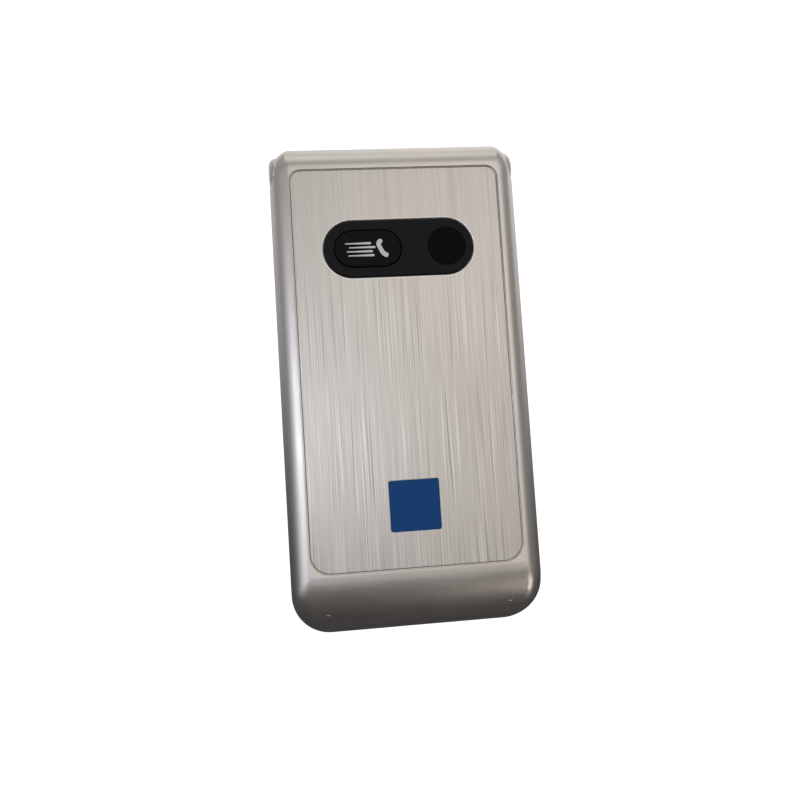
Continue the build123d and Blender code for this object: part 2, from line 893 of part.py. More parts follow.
with BuildPart() as lid_outer_shell:
    add(lid_form.part)
    with Locations((0, lid_shell_end_y, lid_split_z)):
        Box(
            phone_width,
            phone_length,
            lid_height,
            align=(Align.CENTER, Align.MAX, Align.MAX),
            mode=Mode.SUBTRACT,
        )
    add(lid_cavity.part, mode=Mode.SUBTRACT)
    for ear_sign in (-1, 1):
        hinge_round(
            ear_radius + ear_notch_clearance,
            ear_sign * barrel_half,
            ear_sign * half_width,
            mode=Mode.SUBTRACT,
        )
        outward = Align.MIN if ear_sign > 0 else Align.MAX
        with BuildSketch(hinge_line.offset(ear_sign * barrel_half)):
            Polygon(
                (0, 0),
                (cap_cut_reach, 0),
                (cap_cut_reach, cap_cut_reach * cap_end_slope),
                align=None,
            )
        extrude(amount=ear_sign * (ear_width + ear_side_gap), mode=Mode.SUBTRACT)
        with Locations((ear_sign * barrel_half, lid_shell_end_y, hinge_z)):
            Box(
                ear_width + ear_side_gap,
                phone_length,
                lid_height,
                align=(outward, Align.MIN, Align.MAX),
                mode=Mode.SUBTRACT,
            )
    hinge_round(can_radius + press_gap, flex_x - flex_width, barrel_half, mode=Mode.SUBTRACT)
    hinge_round(pin_radius + running_gap, -barrel_half, 0, mode=Mode.SUBTRACT)
    with Locations((flex_x, hinge_y, flex_tail_z)):
        Box(
            flex_width + 2 * flex_slot,
            hinge_y - lid_cavity_end_y + barrel_radius,
            flex_thickness + 2 * flex_slot,
            align=(Align.CENTER, Align.MAX, Align.CENTER),
            mode=Mode.SUBTRACT,
        )
    for screw_point in lid_screw_points:
        disc(boss_radius, lid_split_z, lid_ceiling_z, screw_point)
        disc(
            screw_radius,
            lid_split_z,
            lid_ceiling_z - lid_screw_roof,
            screw_point,
            mode=Mode.SUBTRACT,
        )
    plate_block(plate_groove, plate_low_z, lid_top_z, mode=Mode.SUBTRACT)
    stadium(
        window_size,
        window_gap,
        window_low_z,
        lid_top_z,
        window_centre,
        mode=Mode.SUBTRACT,
    )
    stadium(
        call_pad_size,
        key_hole_gap,
        lid_ceiling_z,
        lid_top_z,
        call_pad_centre,
        mode=Mode.SUBTRACT,
    )
    disc(
        camera_barrel + camera_gap,
        lid_ceiling_z,
        lid_top_z,
        lens_centre,
        mode=Mode.SUBTRACT,
    )
save(lid_outer_shell.part, "lid_outer_shell")

# ---------------------------------------------------------------- lid plate, window, badge
with BuildPart() as decor_plate:
    plate_block(0, plate_low_z, plate_top_z)
    stadium(
        window_size,
        window_gap,
        plate_low_z,
        plate_top_z,
        window_centre,
        mode=Mode.SUBTRACT,
    )
    chamfer(decor_plate.faces().sort_by(Axis.Z)[-1].edges(), plate_chamfer)
    block(
        (badge_size + 2 * badge_gap, badge_size + 2 * badge_gap),
        badge_corner,
        plate_top_z - badge_thickness + badge_gap,
        plate_top_z,
        badge_centre,
        mode=Mode.SUBTRACT,
    )
save(decor_plate.part, "decor_plate")

with BuildPart() as badge:
    badge_low_z = plate_top_z - badge_thickness + badge_gap
    block(
        (badge_size, badge_size),
        badge_corner,
        badge_low_z,
        badge_low_z + badge_thickness,
        badge_centre,
    )
save(badge.part, "badge")

with BuildPart() as window_bezel:
    stadium(window_size, 0, window_low_z, window_top_z, window_centre)
    fillet(window_bezel.faces().sort_by(Axis.Z)[-1].edges(), window_edge)
    stadium(
        call_pad_size,
        key_hole_gap,
        window_low_z,
        window_top_z,
        call_pad_centre,
        mode=Mode.SUBTRACT,
    )
    disc(
        camera_barrel + camera_gap / 2,
        window_low_z,
        window_top_z,
        lens_centre,
        mode=Mode.SUBTRACT,
    )
    disc(
        lens_radius + lens_gap,
        window_top_z - lens_thickness,
        window_top_z,
        lens_centre,
        mode=Mode.SUBTRACT,
    )
save(window_bezel.part, "window_bezel")

with BuildPart() as camera_window:
    disc(
        lens_radius,
        window_top_z - lens_thickness,
        window_top_z - lens_gap / 2,
        lens_centre,
    )
save(camera_window.part, "camera_window")

lid_board_top_z = lid_board_z + board_thickness
with BuildPart() as outer_call_key:
    pad_top_z = lid_top_z + call_pad_proud
    pad_low_z = lid_ceiling_z - call_pad_skirt
    stadium(call_pad_size, 0, pad_low_z - flange_thickness, pad_top_z, call_pad_centre)
    fillet(outer_call_key.faces().sort_by(Axis.Z)[-1].edges(), call_pad_edge)
    stadium(
        call_pad_size,
        flange_grow,
        pad_low_z - flange_thickness,
        pad_low_z,
        call_pad_centre,
    )
    disc(
        call_plunger_radius,
        lid_board_top_z + key_travel + key_rest_gap,
        pad_low_z,
        call_pad_centre,
    )
save(outer_call_key.part, "outer_call_key")

with BuildPart() as camera_module:
    block(
        (camera_block, camera_block),
        camera_corner,
        lid_board_top_z,
        lid_board_top_z + camera_height,
        lens_centre,
    )
    disc(camera_barrel, lid_board_top_z, window_low_z + camera_reach, lens_centre)
save(camera_module.part, "camera_module")

with BuildPart() as lid_board:
    block(lid_board_size, board_corner, lid_board_z, lid_board_top_z, (0, lid_board_y))
save(lid_board.part, "lid_board")

# ---------------------------------------------------------------- lid inner shell
with BuildPart() as lid_inner_shell:
    add(lid_form.part)
    with Locations((0, lid_shell_end_y - ear_side_gap, lid_bottom_z)):
        Box(
            phone_width,
            phone_length,
            lid_split_height,
            align=(Align.CENTER, Align.MAX, Align.MIN),
            mode=Mode.INTERSECT,
        )
    plan_block(
        lid_wall,
        lid_floor_z,
        lid_split_z,
        end_y=lid_shell_end_y - ear_side_gap,
        mode=Mode.SUBTRACT,
    )
    block(
        (display_size[0] + 2 * display_gap, display_size[1] + 2 * display_gap),
        display_corner + display_gap,
        lid_bottom_z,
        display_top_z,
        (0, display_centre_y),
        mode=Mode.SUBTRACT,
    )
    block(
        (display_size[0] - 2 * display_step, display_size[1] - 2 * display_step),
        display_corner,
        lid_bottom_z,
        lid_split_z,
        (0, display_centre_y),
        mode=Mode.SUBTRACT,
    )
    stadium(
        earpiece_slot,
        mesh_gap,
        lid_bottom_z,
        lid_floor_z,
        (0, earpiece_y),
        mode=Mode.SUBTRACT,
    )
    for screw_point in lid_screw_points:
        disc(boss_radius, lid_floor_z, lid_split_z, screw_point)
        disc(
            screw_head_radius + screw_gap,
            lid_bottom_z,
            lid_bottom_z + screw_head_height + 2 * screw_gap,
            screw_point,
            mode=Mode.SUBTRACT,
        )
        disc(screw_radius + screw_gap, 0, lid_split_z, screw_point, mode=Mode.SUBTRACT)
    for bumper_point in mirrored([bumper_centre]):
        disc(
            bumper_radius + bumper_gap,
            lid_bottom_z,
            base_height + bumper_gap + bumper_height,
            bumper_point,
            mode=Mode.SUBTRACT,
        )
save(lid_inner_shell.part, "lid_inner_shell")

with BuildPart() as display_window:
    block(display_size, display_corner, display_low_z, display_top_z, (0, display_centre_y))
save(display_window.part, "display_window")

with BuildPart() as display_module:
    module_low_z = lid_floor_z + press_gap
    block(
        panel_size,
        panel_corner,
        module_low_z,
        module_low_z + panel_size[2],
        (0, display_centre_y),
    )
save(display_module.part, "display_module")

with BuildPart() as earpiece:
    block(
        earpiece_size,
        earpiece_corner,
        lid_floor_z,
        lid_floor_z + earpiece_size[2],
        (0, earpiece_y),
    )
save(earpiece.part, "earpiece")

with BuildPart() as earpiece_mesh:
    stadium(
        earpiece_slot,
        0,
        lid_bottom_z + mesh_recess,
        lid_bottom_z + mesh_recess + mesh_thickness,
        (0, earpiece_y),
    )
save(earpiece_mesh.part, "earpiece_mesh")

with BuildPart() as vibration_motor:
    disc(motor_radius, lid_floor_z, lid_floor_z + motor_height, motor_centre)
save(vibration_motor.part, "vibration_motor")

with BuildPart() as lid_magnet:
    magnet_top_z = lid_floor_z + magnet_size[2]
    block(magnet_size, magnet_corner, lid_floor_z, magnet_top_z, magnet_centre)
save(lid_magnet.part, "lid_magnet")

with BuildPart() as lid_bumpers:
    for bumper_point in mirrored([bumper_centre]):
        disc(
            bumper_radius,
            base_height + bumper_gap,
            base_height + bumper_gap + bumper_height,
            bumper_point,
        )
save(lid_bumpers.part, "lid_bumpers")

with BuildPart() as lid_screw_set:
    for screw_point in lid_screw_points:
        head_z = lid_bottom_z + screw_gap
        disc(screw_head_radius, head_z, head_z + screw_head_height, screw_point)
        disc(screw_radius, head_z, lid_ceiling_z - lid_screw_roof - screw_gap, screw_point)
save(lid_screw_set.part, "lid_screws")

# ---------------------------------------------------------------- hinge parts
can_end_x = barrel_half - press_gap
can_start_x = can_end_x - can_length
cavity_radius = cam_radius + cam_gap
with BuildPart() as hinge_can:
    hinge_round(can_radius, can_start_x, can_end_x)
    hinge_round(
        cavity_radius,
        can_start_x + can_wall,
        can_end_x - 2 * can_wall,
        mode=Mode.SUBTRACT,
    )
    hinge_round(shaft_radius + running_gap, can_end_x - 3 * can_wall, can_end_x, mode=Mode.SUBTRACT)
save(hinge_can.part, "hinge_can")

cam_end_x = can_end_x - 2 * can_wall - press_gap
with BuildPart() as hinge_cam:
    hinge_round(cam_radius, cam_end_x - cam_length, cam_end_x)
    hinge_round(shaft_radius, cam_end_x, ear_inner_x)
    hinge_round(pin_radius, ear_inner_x, ear_inner_x + socket_depth)
save(hinge_cam.part, "hinge_cam")

with BuildPart() as hinge_spring:
    spring_end_x = cam_end_x - cam_length - spring_gap
    hinge_round(cavity_radius - press_gap, can_start_x + can_wall, spring_end_x)
    hinge_round(
        cavity_radius - press_gap - spring_wall,
        can_start_x + can_wall,
        spring_end_x,
        mode=Mode.SUBTRACT,
    )
save(hinge_spring.part, "hinge_spring")

pin_end_x = -(ear_inner_x + socket_depth)
with BuildPart() as hinge_pin:
    hinge_round(pin_radius, pin_end_x, pin_end_x + pin_length)
    hinge_round(pin_bore, pin_end_x, pin_end_x + pin_length, mode=Mode.SUBTRACT)
save(hinge_pin.part, "hinge_pin")

with BuildPart() as hinge_flex:
    hinge_round(flex_radius, pin_end_x + flex_end_gap, flex_x + flex_width / 2)
    with Locations((flex_x, hinge_y, flex_tail_z)):
        Box(
            flex_width,
            hinge_y - lid_board_y - lid_board_size[1] / 2 + flex_overlap,
            flex_thickness,
            align=(Align.CENTER, Align.MAX, Align.CENTER),
        )
save(hinge_flex.part, "hinge_flex")
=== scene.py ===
# %% [markdown]
# A clamshell mobile phone, lying closed on its back.
# This file dresses a finished mechanical model, which says where every piece is and how it
# moves. So nothing here is moved or resized: pieces get finishes, a few get finer meshes, and
# what is printed or repeated is added. +X runs across the phone, +Y from the chin to the hinge
# and +Z up out of the lid. The scene is in metres, and MM turns millimetres into metres.

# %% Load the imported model
import cmath
import functools
import math

import bmesh
import bpy
from mathutils import Matrix, Vector


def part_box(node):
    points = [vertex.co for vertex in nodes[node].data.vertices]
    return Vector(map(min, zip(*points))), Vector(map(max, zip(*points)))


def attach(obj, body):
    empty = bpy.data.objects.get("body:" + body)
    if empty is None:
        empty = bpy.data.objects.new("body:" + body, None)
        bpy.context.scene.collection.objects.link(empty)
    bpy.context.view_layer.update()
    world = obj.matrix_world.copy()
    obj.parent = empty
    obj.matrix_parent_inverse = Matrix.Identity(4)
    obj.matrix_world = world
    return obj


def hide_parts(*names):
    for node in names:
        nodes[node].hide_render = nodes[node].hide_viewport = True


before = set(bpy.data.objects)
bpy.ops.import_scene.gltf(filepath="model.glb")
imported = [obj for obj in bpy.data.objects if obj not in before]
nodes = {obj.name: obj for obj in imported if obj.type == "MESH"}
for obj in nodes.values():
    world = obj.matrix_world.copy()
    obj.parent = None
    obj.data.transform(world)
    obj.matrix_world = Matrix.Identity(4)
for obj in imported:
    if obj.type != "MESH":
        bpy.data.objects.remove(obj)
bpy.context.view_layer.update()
MM = 0.001

# %% [markdown]
# The camera stands almost straight above the lid, a little to the left and towards the chin.
# Its turn is written as three plain angles, because a look-at rule would hide the small roll
# that makes the phone lie askew in the frame.

# %% Camera
camera_place = (-19.97, -15.09, 188.04)
camera_turn = (4.195, -5.890, -3.659)
camera_lens = 36.0
camera_sensor = 36.0

camera_data = bpy.data.cameras.new("view_camera")
camera_data.lens = camera_lens
camera_data.sensor_width = camera_sensor
camera_data.clip_start = 1 * MM
camera = bpy.data.objects.new("view_camera", camera_data)
camera.location = Vector(camera_place) * MM
camera.rotation_euler = [math.radians(angle) for angle in camera_turn]
bpy.context.scene.collection.objects.link(camera)
bpy.context.scene.camera = camera
bpy.context.scene.view_settings.view_transform = "Standard"
print("camera", camera_place, camera_turn)

# %% [markdown]
# Finishes are graphs of small nodes made by the dozen. One helper adds a node and fills its
# inputs with numbers or links, and a few more stand for the kinds that come back everywhere.

# %% Helpers for nodes
def add_node(tree, kind, inputs=None, **settings):
    """Adds a node. An input is a number, a colour or another node's output."""
    made = tree.nodes.new(kind)
    for key, value in settings.items():
        setattr(made, key, value)
    for key, value in (inputs or {}).items():
        if isinstance(value, bpy.types.NodeSocket):
            tree.links.new(value, made.inputs[key])
        else:
            made.inputs[key].default_value = value
    return made


def output_of(inputs, kind, **settings):
    """The first output of a new node, in the tree that its linked inputs come from."""
    tree = next(v.id_data for v in inputs.values() if isinstance(v, bpy.types.NodeSocket))
    return add_node(tree, kind, inputs, **settings).outputs[0]


def feed(node, **outputs):
    """Links outputs to a node's inputs. In a name, _ stands for a space."""
    for key, output in outputs.items():
        node.id_data.links.new(output, node.inputs[key.replace("_", " ")])


def sum_of(operation, first, second=0.0):
    """One sum on two values."""
    return output_of({0: first, 1: second}, "ShaderNodeMath", operation=operation)


add, subtract, multiply, divide, larger, absolute, root, whole = (
    functools.partial(sum_of, operation)
    for operation in ("ADD", "SUBTRACT", "MULTIPLY", "DIVIDE", "MAXIMUM", "ABSOLUTE", "SQRT", "FLOOR")
)


def mix_colours(factor, first, second):
    """A mix of two colours, each three numbers or another node's output."""
    first, second = ((*c, 1.0) if isinstance(c, tuple) else c for c in (first, second))
    inputs = {"Factor": factor, 6: first, 7: second}
    return add_node(factor.id_data, "ShaderNodeMix", inputs, data_type="RGBA").outputs[2]


def map_values(value, low, high, to_low=0.0, to_high=1.0, smooth=False):
    """A value moved from one range to another, held at the ends."""
    inputs = {"Value": value, 1: low, 2: high, 3: to_low, 4: to_high}
    kind = "SMOOTHSTEP" if smooth else "LINEAR"
    return output_of(inputs, "ShaderNodeMapRange", interpolation_type=kind)


def vector_of(**parts):
    """Up to three values as one vector."""
    return output_of(parts, "ShaderNodeCombineXYZ")


def object_place(tree):
    """Where a point lies on its own piece, in metres. It rides along when the piece moves."""
    return add_node(tree, "ShaderNodeTexCoord").outputs["Object"]


def object_axes(tree):
    """The same place as separate X, Y and Z."""
    return add_node(tree, "ShaderNodeSeparateXYZ", {0: object_place(tree)}).outputs


def noise_of(place, scale, detail):
    """A noise between 0 and 1."""
    return output_of({"Vector": place, "Scale": scale, "Detail": detail}, "ShaderNodeTexNoise")


def relief_of(height, depth, **normal):
    """A shading normal for a relief of a depth in millimetres, laid over another normal."""
    inputs = {"Height": height, "Distance": depth * MM, "Strength": 1.0, **normal}
    return output_of(inputs, "ShaderNodeBump")


print("helpers for nodes are ready")

# %% [markdown]
# Every finish starts from one main shader. Effects that many finishes share are node groups,
# which have named inputs and can be placed in any of them.

# %% Helpers for materials and groups
def new_group(name, inputs, outputs):
    """A shader node group with its sockets, and its input and output nodes."""
    tree = bpy.data.node_groups.new(name, "ShaderNodeTree")
    for socket_name, value in inputs.items():
        socket = tree.interface.new_socket(socket_name, in_out="INPUT", socket_type="NodeSocketFloat")
        socket.default_value = value
    for socket_name, kind in outputs.items():
        tree.interface.new_socket(socket_name, in_out="OUTPUT", socket_type=kind)
    return tree, tree.nodes.new("NodeGroupInput").outputs, tree.nodes.new("NodeGroupOutput")


def placed_group(tree, group, **values):
    """The outputs of a placed node group whose inputs are filled."""
    made = add_node(tree, "ShaderNodeGroup", node_tree=group)
    for key, value in values.items():
        made.inputs[key.replace("_", " ")].default_value = value
    return made.outputs


def new_material(name, colour, **sockets):
    """A material with one main shader, and values set on that shader's own sockets."""
    material = bpy.data.materials.new(name)
    material.use_nodes = True
    tree = material.node_tree
    shader = tree.nodes["Principled BSDF"]
    shader.inputs["Base Color"].default_value = (*colour, 1.0)
    for key, value in sockets.items():
        shader.inputs[key.replace("_", " ")].default_value = value
    return material, tree, shader


print("helpers for materials are ready")

# %% [markdown]
# Real edges are never perfectly sharp. A Bevel node rounds the shading there without touching the mesh,
# and comparing its normal with the true one gives a mask of where edges are, broken into patches by a
# noise. Satin paints and moulded plastics paint a highlight into their colour along this mask. Every
# finish on the phone shares this group.

# %% Shader group: soft edges and where edge highlights are painted
turn_shown = (0.02, 0.2)
patches_shown = (0.35, 0.6)

edge_group, group_in, group_out = new_group(
    "soft_edges",
    {"Radius": 0.12 * MM, "Highlight Patch Scale": 900.0},
    {"Normal": "NodeSocketVector", "Edge": "NodeSocketFloat"},
)
bevel = add_node(edge_group, "ShaderNodeBevel", {"Radius": group_in["Radius"]}, samples=4).outputs[0]
alike = add_node(
    edge_group,
    "ShaderNodeVectorMath",
    {0: bevel, 1: add_node(edge_group, "ShaderNodeNewGeometry").outputs["Normal"]},
    operation="DOT_PRODUCT",
).outputs["Value"]
edge_turn = map_values(subtract(1.0, alike), *turn_shown)
edge_noise = noise_of(object_place(edge_group), group_in["Highlight Patch Scale"], 3.0)
edge_patches = map_values(edge_noise, *patches_shown)
# The mask along which finishes paint a highlight on edges, in patches.
edge_mask = multiply(edge_turn, edge_patches)
feed(group_out, Normal=bevel, Edge=edge_mask)
print("group soft_edges", len(edge_group.nodes), "nodes")

# %% [markdown]
# Moulded plastic has a fine spark-eroded grain, and satin paint has tiny flakes. Both are one
# noise at a given size in millimetres, with a slow second noise for handling marks and uneven
# sheen.

# %% Shader group: fine grain
grain_group, group_in, group_out = new_group(
    "fine_grain",
    {"Grain Size": 0.08, "Cloud Size": 14.0},
    {"Grain": "NodeSocketFloat", "Cloud": "NodeSocketFloat"},
)
grain_place = object_place(grain_group)
for output_name, detail in (("Grain", 2.0), ("Cloud", 3.0)):
    noise_scale = divide(1 / MM, group_in[f"{output_name} Size"])
    feed(group_out, **{output_name: noise_of(grain_place, noise_scale, detail)})
print("group fine_grain", len(grain_group.nodes), "nodes")

# %% [markdown]
# Brushing draws an abrasive belt along the plate, so its scratches are long in Y and narrow in
# X. Noise stretched along Y gives such streaks; three widths are laid over each other, because
# a belt leaves a few deep scores among many fine ones.

# %% Shader group: brushed streaks
brush_group, group_in, group_out = new_group(
    "brushed_streaks",
    {"Fine Width": 0.11, "Score Width": 0.24, "Band Width": 1.3, "Length": 14.0},
    {"Fine": "NodeSocketFloat", "Score": "NodeSocketFloat", "Band": "NodeSocketFloat"},
)
brush_axes = object_axes(brush_group)
brush_layers = (("Fine", 1, 2), ("Score", 2, 1), ("Band", 4, 2))
for layer, (output_name, stretch, detail) in enumerate(brush_layers):
    length = multiply(group_in["Length"], stretch)
    across = divide(brush_axes["X"], group_in[f"{output_name} Width"])
    stretched = vector_of(X=across, Y=divide(brush_axes["Y"], length), Z=layer * MM)
    feed(group_out, **{output_name: noise_of(stretched, 1 / MM, detail)})
print("group brushed_streaks", len(brush_group.nodes), "nodes")

# %% [markdown]
# The shells are sprayed with a satin champagne silver. It is a metallic paint, so it is dark
# where it mirrors something dark and bright where it mirrors a lamp, but its flakes spread the
# reflection wide. A slightly uneven roughness keeps large faces from looking like computer
# plastic.

# %% Finish: satin silver paint
silver_colour = (0.60, 0.56, 0.525)
paint_metal = 0.9
flake_size = 0.09
flake_depth = 0.002
sheen_spread = 0.03
cloud_shown = (0.3, 0.7)
edge_highlight_gain = 1.18
flake_dullness = 0.94


def finish_surface(tree, shader, grain_size, grain_depth, roughness, spread, edge_radius=0.12):
    """Soft edges, a fine relief and an uneven roughness. Returns edges, grain and roughness."""
    edges = placed_group(tree, edge_group, Radius=edge_radius * MM)
    grain = placed_group(tree, grain_group, Grain_Size=grain_size)
    relief = relief_of(grain["Grain"], grain_depth, Normal=edges["Normal"])
    sheen = map_values(grain["Cloud"], *cloud_shown, roughness - spread, roughness + spread)
    feed(shader, Normal=relief, Roughness=sheen)
    return edges["Edge"], grain["Grain"], sheen


def satin_paint(name, colour, roughness=0.34):
    """A sprayed metallic paint over moulded plastic, with a painted highlight on its edges."""
    material, tree, shader = new_material(name, colour, Metallic=paint_metal)
    edge, grain, _ = finish_surface(tree, shader, flake_size, flake_depth, roughness, sheen_spread)
    # A painted highlight: the edges take a lighter copy of the paint's colour.
    bright = tuple(min(1.0, channel * edge_highlight_gain) for channel in colour)
    dull = tuple(channel * flake_dullness for channel in colour)
    flaked = mix_colours(map_values(grain, *cloud_shown), dull, colour)
    feed(shader, Base_Color=mix_colours(edge, flaked, bright))
    return material


silver_paint = satin_paint("satin_silver_paint", silver_colour)
print("finish", silver_paint.name, len(silver_paint.node_tree.nodes), "nodes")

# %% [markdown]
# Black parts are moulded in black plastic. The window panel and the call key are satin, the
# display face is polished, and the rubber pieces are dull. Printed ink is a thin plastic too,
# so one function makes them all.

# %% Finish: plastics, rubber and inks
def moulded_plastic(name, colour, roughness=0.45, grain_depth=0.004, grain_size=0.12, shine=0.5):
    """Moulded plastic with a fine eroded grain and a painted highlight on its edges."""
    material, tree, shader = new_material(name, colour, Specular_IOR_Level=shine)
    edge = finish_surface(tree, shader, grain_size, grain_depth, roughness, 0.05)[0]
    # A painted highlight: the edges take a lighter copy of the plastic's colour.
    lighter = tuple(channel * 1.6 + 0.01 for channel in colour)
    feed(shader, Base_Color=mix_colours(edge, colour, lighter))
    return material


ink_roughness = 0.6
ink_relief = 0.001
window_black = moulded_plastic("window_black", (0.009, 0.0085, 0.0088), 0.42, shine=0.08)
pad_black = moulded_plastic("call_pad_black", (0.005, 0.005, 0.005), 0.5, shine=0.07)
module_black = moulded_plastic("module_black", (0.02, 0.02, 0.021), 0.55)
rubber = moulded_plastic("soft_rubber", (0.03, 0.03, 0.03), 0.85, 0.008, 0.2)
key_black = moulded_plastic("key_cap_black", (0.02, 0.02, 0.022), 0.4)
flex_amber = moulded_plastic("flex_amber", (0.45, 0.20, 0.04), 0.3, 0.001)
badge_blue = moulded_plastic("badge_blue", (0.003, 0.055, 0.2), 0.35, 0.001, shine=0.1)
ink_white, ink_green, ink_red, ink_dark = (
    moulded_plastic(f"printed_{name}", colour, ink_roughness, ink_relief)
    for name, colour in (
        ("white", (0.62, 0.62, 0.61)),
        ("green", (0.03, 0.42, 0.08)),
        ("red", (0.55, 0.02, 0.02)),
        ("dark", (0.03, 0.03, 0.032)),
    )
)
print("plastics, rubber and inks, the darkest", pad_black.name)

# %% [markdown]
# The lid plate is thin aluminium, brushed lengthwise and lacquered. Streaks change its colour, its
# roughness and its relief together, and they are stronger towards the chin, where the plate also has
# darker patches. Round the window panel a thin bright line is painted on the plate, a painted highlight
# where its edge meets the panel.

# %% Finish: brushed plate
window_highlight_width = 0.55
streaks_fade = (42 * MM, -8 * MM)
chin_patch_fade = (22 * MM, -2 * MM)
plate_tints = {
    "grain dark": (0.49, 0.455, 0.422),
    "grain light": (0.575, 0.542, 0.508),
    "bright streak": (0.70, 0.675, 0.648),
    "deep score": (0.27, 0.24, 0.215),
    "dark chin patch": (0.2, 0.18, 0.165),
    "painted window highlight": (0.86, 0.84, 0.81),
}
streaks_shown = {
    "fine": ("Fine", 0.25, 0.75),
    "score": ("Score", 0.54, 0.28),
    "bright": ("Score", 0.55, 0.8),
    "band": ("Band", 0.62, 0.36),
    "patch": ("Band", 0.35, 0.6),
}


def stadium_rim(tree, node, width):
    """A soft band just outside a round-ended node, as wide as given in millimetres."""
    low, high = (Vector(corner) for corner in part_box(node))
    middle = (low + high) / 2
    radius = (high.y - low.y) / 2
    axes = object_axes(tree)
    reach = absolute(subtract(axes["X"], middle.x))
    past_end = subtract(reach, (high.x - low.x) / 2 - radius)
    across = larger(past_end, 0.0)
    along = subtract(axes["Y"], middle.y)
    away = vector_of(X=across, Y=along)
    length = add_node(tree, "ShaderNodeVectorMath", {0: away}, operation="LENGTH").outputs["Value"]
    distance = subtract(length, radius)
    return map_values(distance, width * MM, width / 3 * MM)


def brushed_plate_finish():
    """Brushed aluminium with scores and bands that fade towards the hinge, darker patches towards the chin
    and a painted highlight round the window.
    """
    material, tree, shader = new_material("brushed_plate", silver_colour, Metallic=paint_metal)
    brush = placed_group(tree, brush_group)
    along = object_axes(tree)["Y"]
    strength = map_values(along, *streaks_fade, 0.3, 1.0, smooth=True)
    # The plate gets darker patches towards the chin.
    chin_patch_strength = map_values(along, *chin_patch_fade, 0.0, 0.2, smooth=True)
    streak = {
        name: map_values(brush[layer], low, high)
        for name, (layer, low, high) in streaks_shown.items()
    }
    banded_score = multiply(streak["score"], streak["band"])
    deep = multiply(banded_score, strength)
    tint = mix_colours(streak["fine"], plate_tints["grain dark"], plate_tints["grain light"])
    for mask, name in (
        (multiply(streak["bright"], strength), "bright streak"),
        (deep, "deep score"),
        (multiply(chin_patch_strength, streak["patch"]), "dark chin patch"),
        # A painted highlight: a thin bright line round the window panel.
        (stadium_rim(tree, "window_bezel", window_highlight_width), "painted window highlight"),
    ):
        tint = mix_colours(mask, tint, plate_tints[name])
    rough = map_values(brush["Fine"], 0.3, 0.7, 0.3, 0.44)
    edges = placed_group(tree, edge_group, Radius=0.15 * MM)
    scratches = subtract(brush["Fine"], deep)
    relief = relief_of(scratches, 0.006, Normal=edges["Normal"])
    feed(shader, Base_Color=tint, Roughness=rough, Normal=relief)
    return material


plate_finish = brushed_plate_finish()
print("finish", plate_finish.name, len(plate_finish.node_tree.nodes), "nodes")

# %% [markdown]
# Glass over the camera and the display is dark because what lies behind it is dark. It gets
# a smooth shader with faint smudges in its roughness, which only show where it mirrors a lamp.

# %% Finish: dark glass
smudge_strength = 0.05


def dark_glass(name, colour, roughness, shine=0.5):
    """Polished dark glass with faint finger marks."""
    material, tree, shader = new_material(name, colour, IOR=1.5, Specular_IOR_Level=shine)
    grain = placed_group(tree, grain_group, Grain_Size=1.5, Cloud_Size=9.0)
    marks = multiply(grain["Grain"], grain["Cloud"])
    smudged = map_values(marks, 0.1, 0.5, roughness, roughness + smudge_strength)
    feed(shader, Roughness=smudged)
    return material


camera_glass = dark_glass("camera_glass", (0.001, 0.001, 0.001), 0.12, shine=0.04)
display_glass = dark_glass("display_glass", (0.006, 0.006, 0.007), 0.05)
print("dark glass over the camera and the display")

# %% [markdown]
# The display's window is one sheet, printed black behind its edge. Inside the print the
# switched-off panel shows, a shade lighter and bluer, so the mask follows the panel's place.

# %% Finish: display window
printed_border = Vector((3.0, 5.0, 0.0))
border_black = (0.004, 0.004, 0.004)
panel_off = (0.022, 0.025, 0.03)


def rectangle_mask(tree, centre, size, softness=0.05):
    """1 inside a rectangle in X and Y and 0 outside it, in millimetres."""
    axes = object_axes(tree)
    sides = []
    for axis, middle, width in zip("XY", centre, size):
        reach = absolute(subtract(axes[axis], middle * MM))
        edge = width / 2
        sides.append(map_values(reach, (edge + softness) * MM, (edge - softness) * MM))
    return multiply(*sides)


def box_in_mm(node):
    """A node's lowest and highest corners, in millimetres."""
    return [Vector(corner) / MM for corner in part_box(node)]


panel_low, panel_high = box_in_mm("display_module")
visible_size = panel_high - panel_low - printed_border
display_tree = display_glass.node_tree
visible_area = rectangle_mask(display_tree, ((panel_low + panel_high) / 2)[:2], visible_size[:2])
display_tint = mix_colours(visible_area, border_black, panel_off)
feed(display_tree.nodes["Principled BSDF"], Base_Color=display_tint)
print("display shows", tuple(round(v, 1) for v in visible_size[:2]))

# %% [markdown]
# The keypad half is painted silver like the lid, but its sunken deck is black. Both are one
# moulding, so the mask is made from height and place: below the rim and inside it. The display
# half is painted too, and only the flat face round its display is black.

# %% Finish: keypad housing and display face
deck_rim = 10.35
deck_margin = Vector((1.9, 4.4, 0.0))
deck_shift = Vector((0.0, 0.15, 0.0))
face_depth = 0.06


def two_tone(name, mask_maker, inner_colour, inner_roughness):
    """Silver paint with a plain plastic where a mask says so."""
    material, tree, shader = new_material(name, silver_colour, Metallic=paint_metal)
    sheen = finish_surface(tree, shader, flake_size, flake_depth, 0.36, sheen_spread)[2]
    mask = mask_maker(tree)
    feed(
        shader,
        Base_Color=mix_colours(mask, silver_colour, inner_colour),
        Metallic=map_values(mask, 0.0, 1.0, paint_metal, 0.0),
        Roughness=map_values(mask, 0.0, 1.0, sheen, inner_roughness),
    )
    return material


def height_mask(tree, below, softness=0.02):
    """1 where the surface is lower than a height in millimetres."""
    return map_values(object_axes(tree)["Z"], (below + softness) * MM, (below - softness) * MM)


keypad_low, keypad_high = box_in_mm("keypad_mat")
deck_size = keypad_high - keypad_low + deck_margin
deck_centre = (keypad_high + keypad_low) / 2 + deck_shift


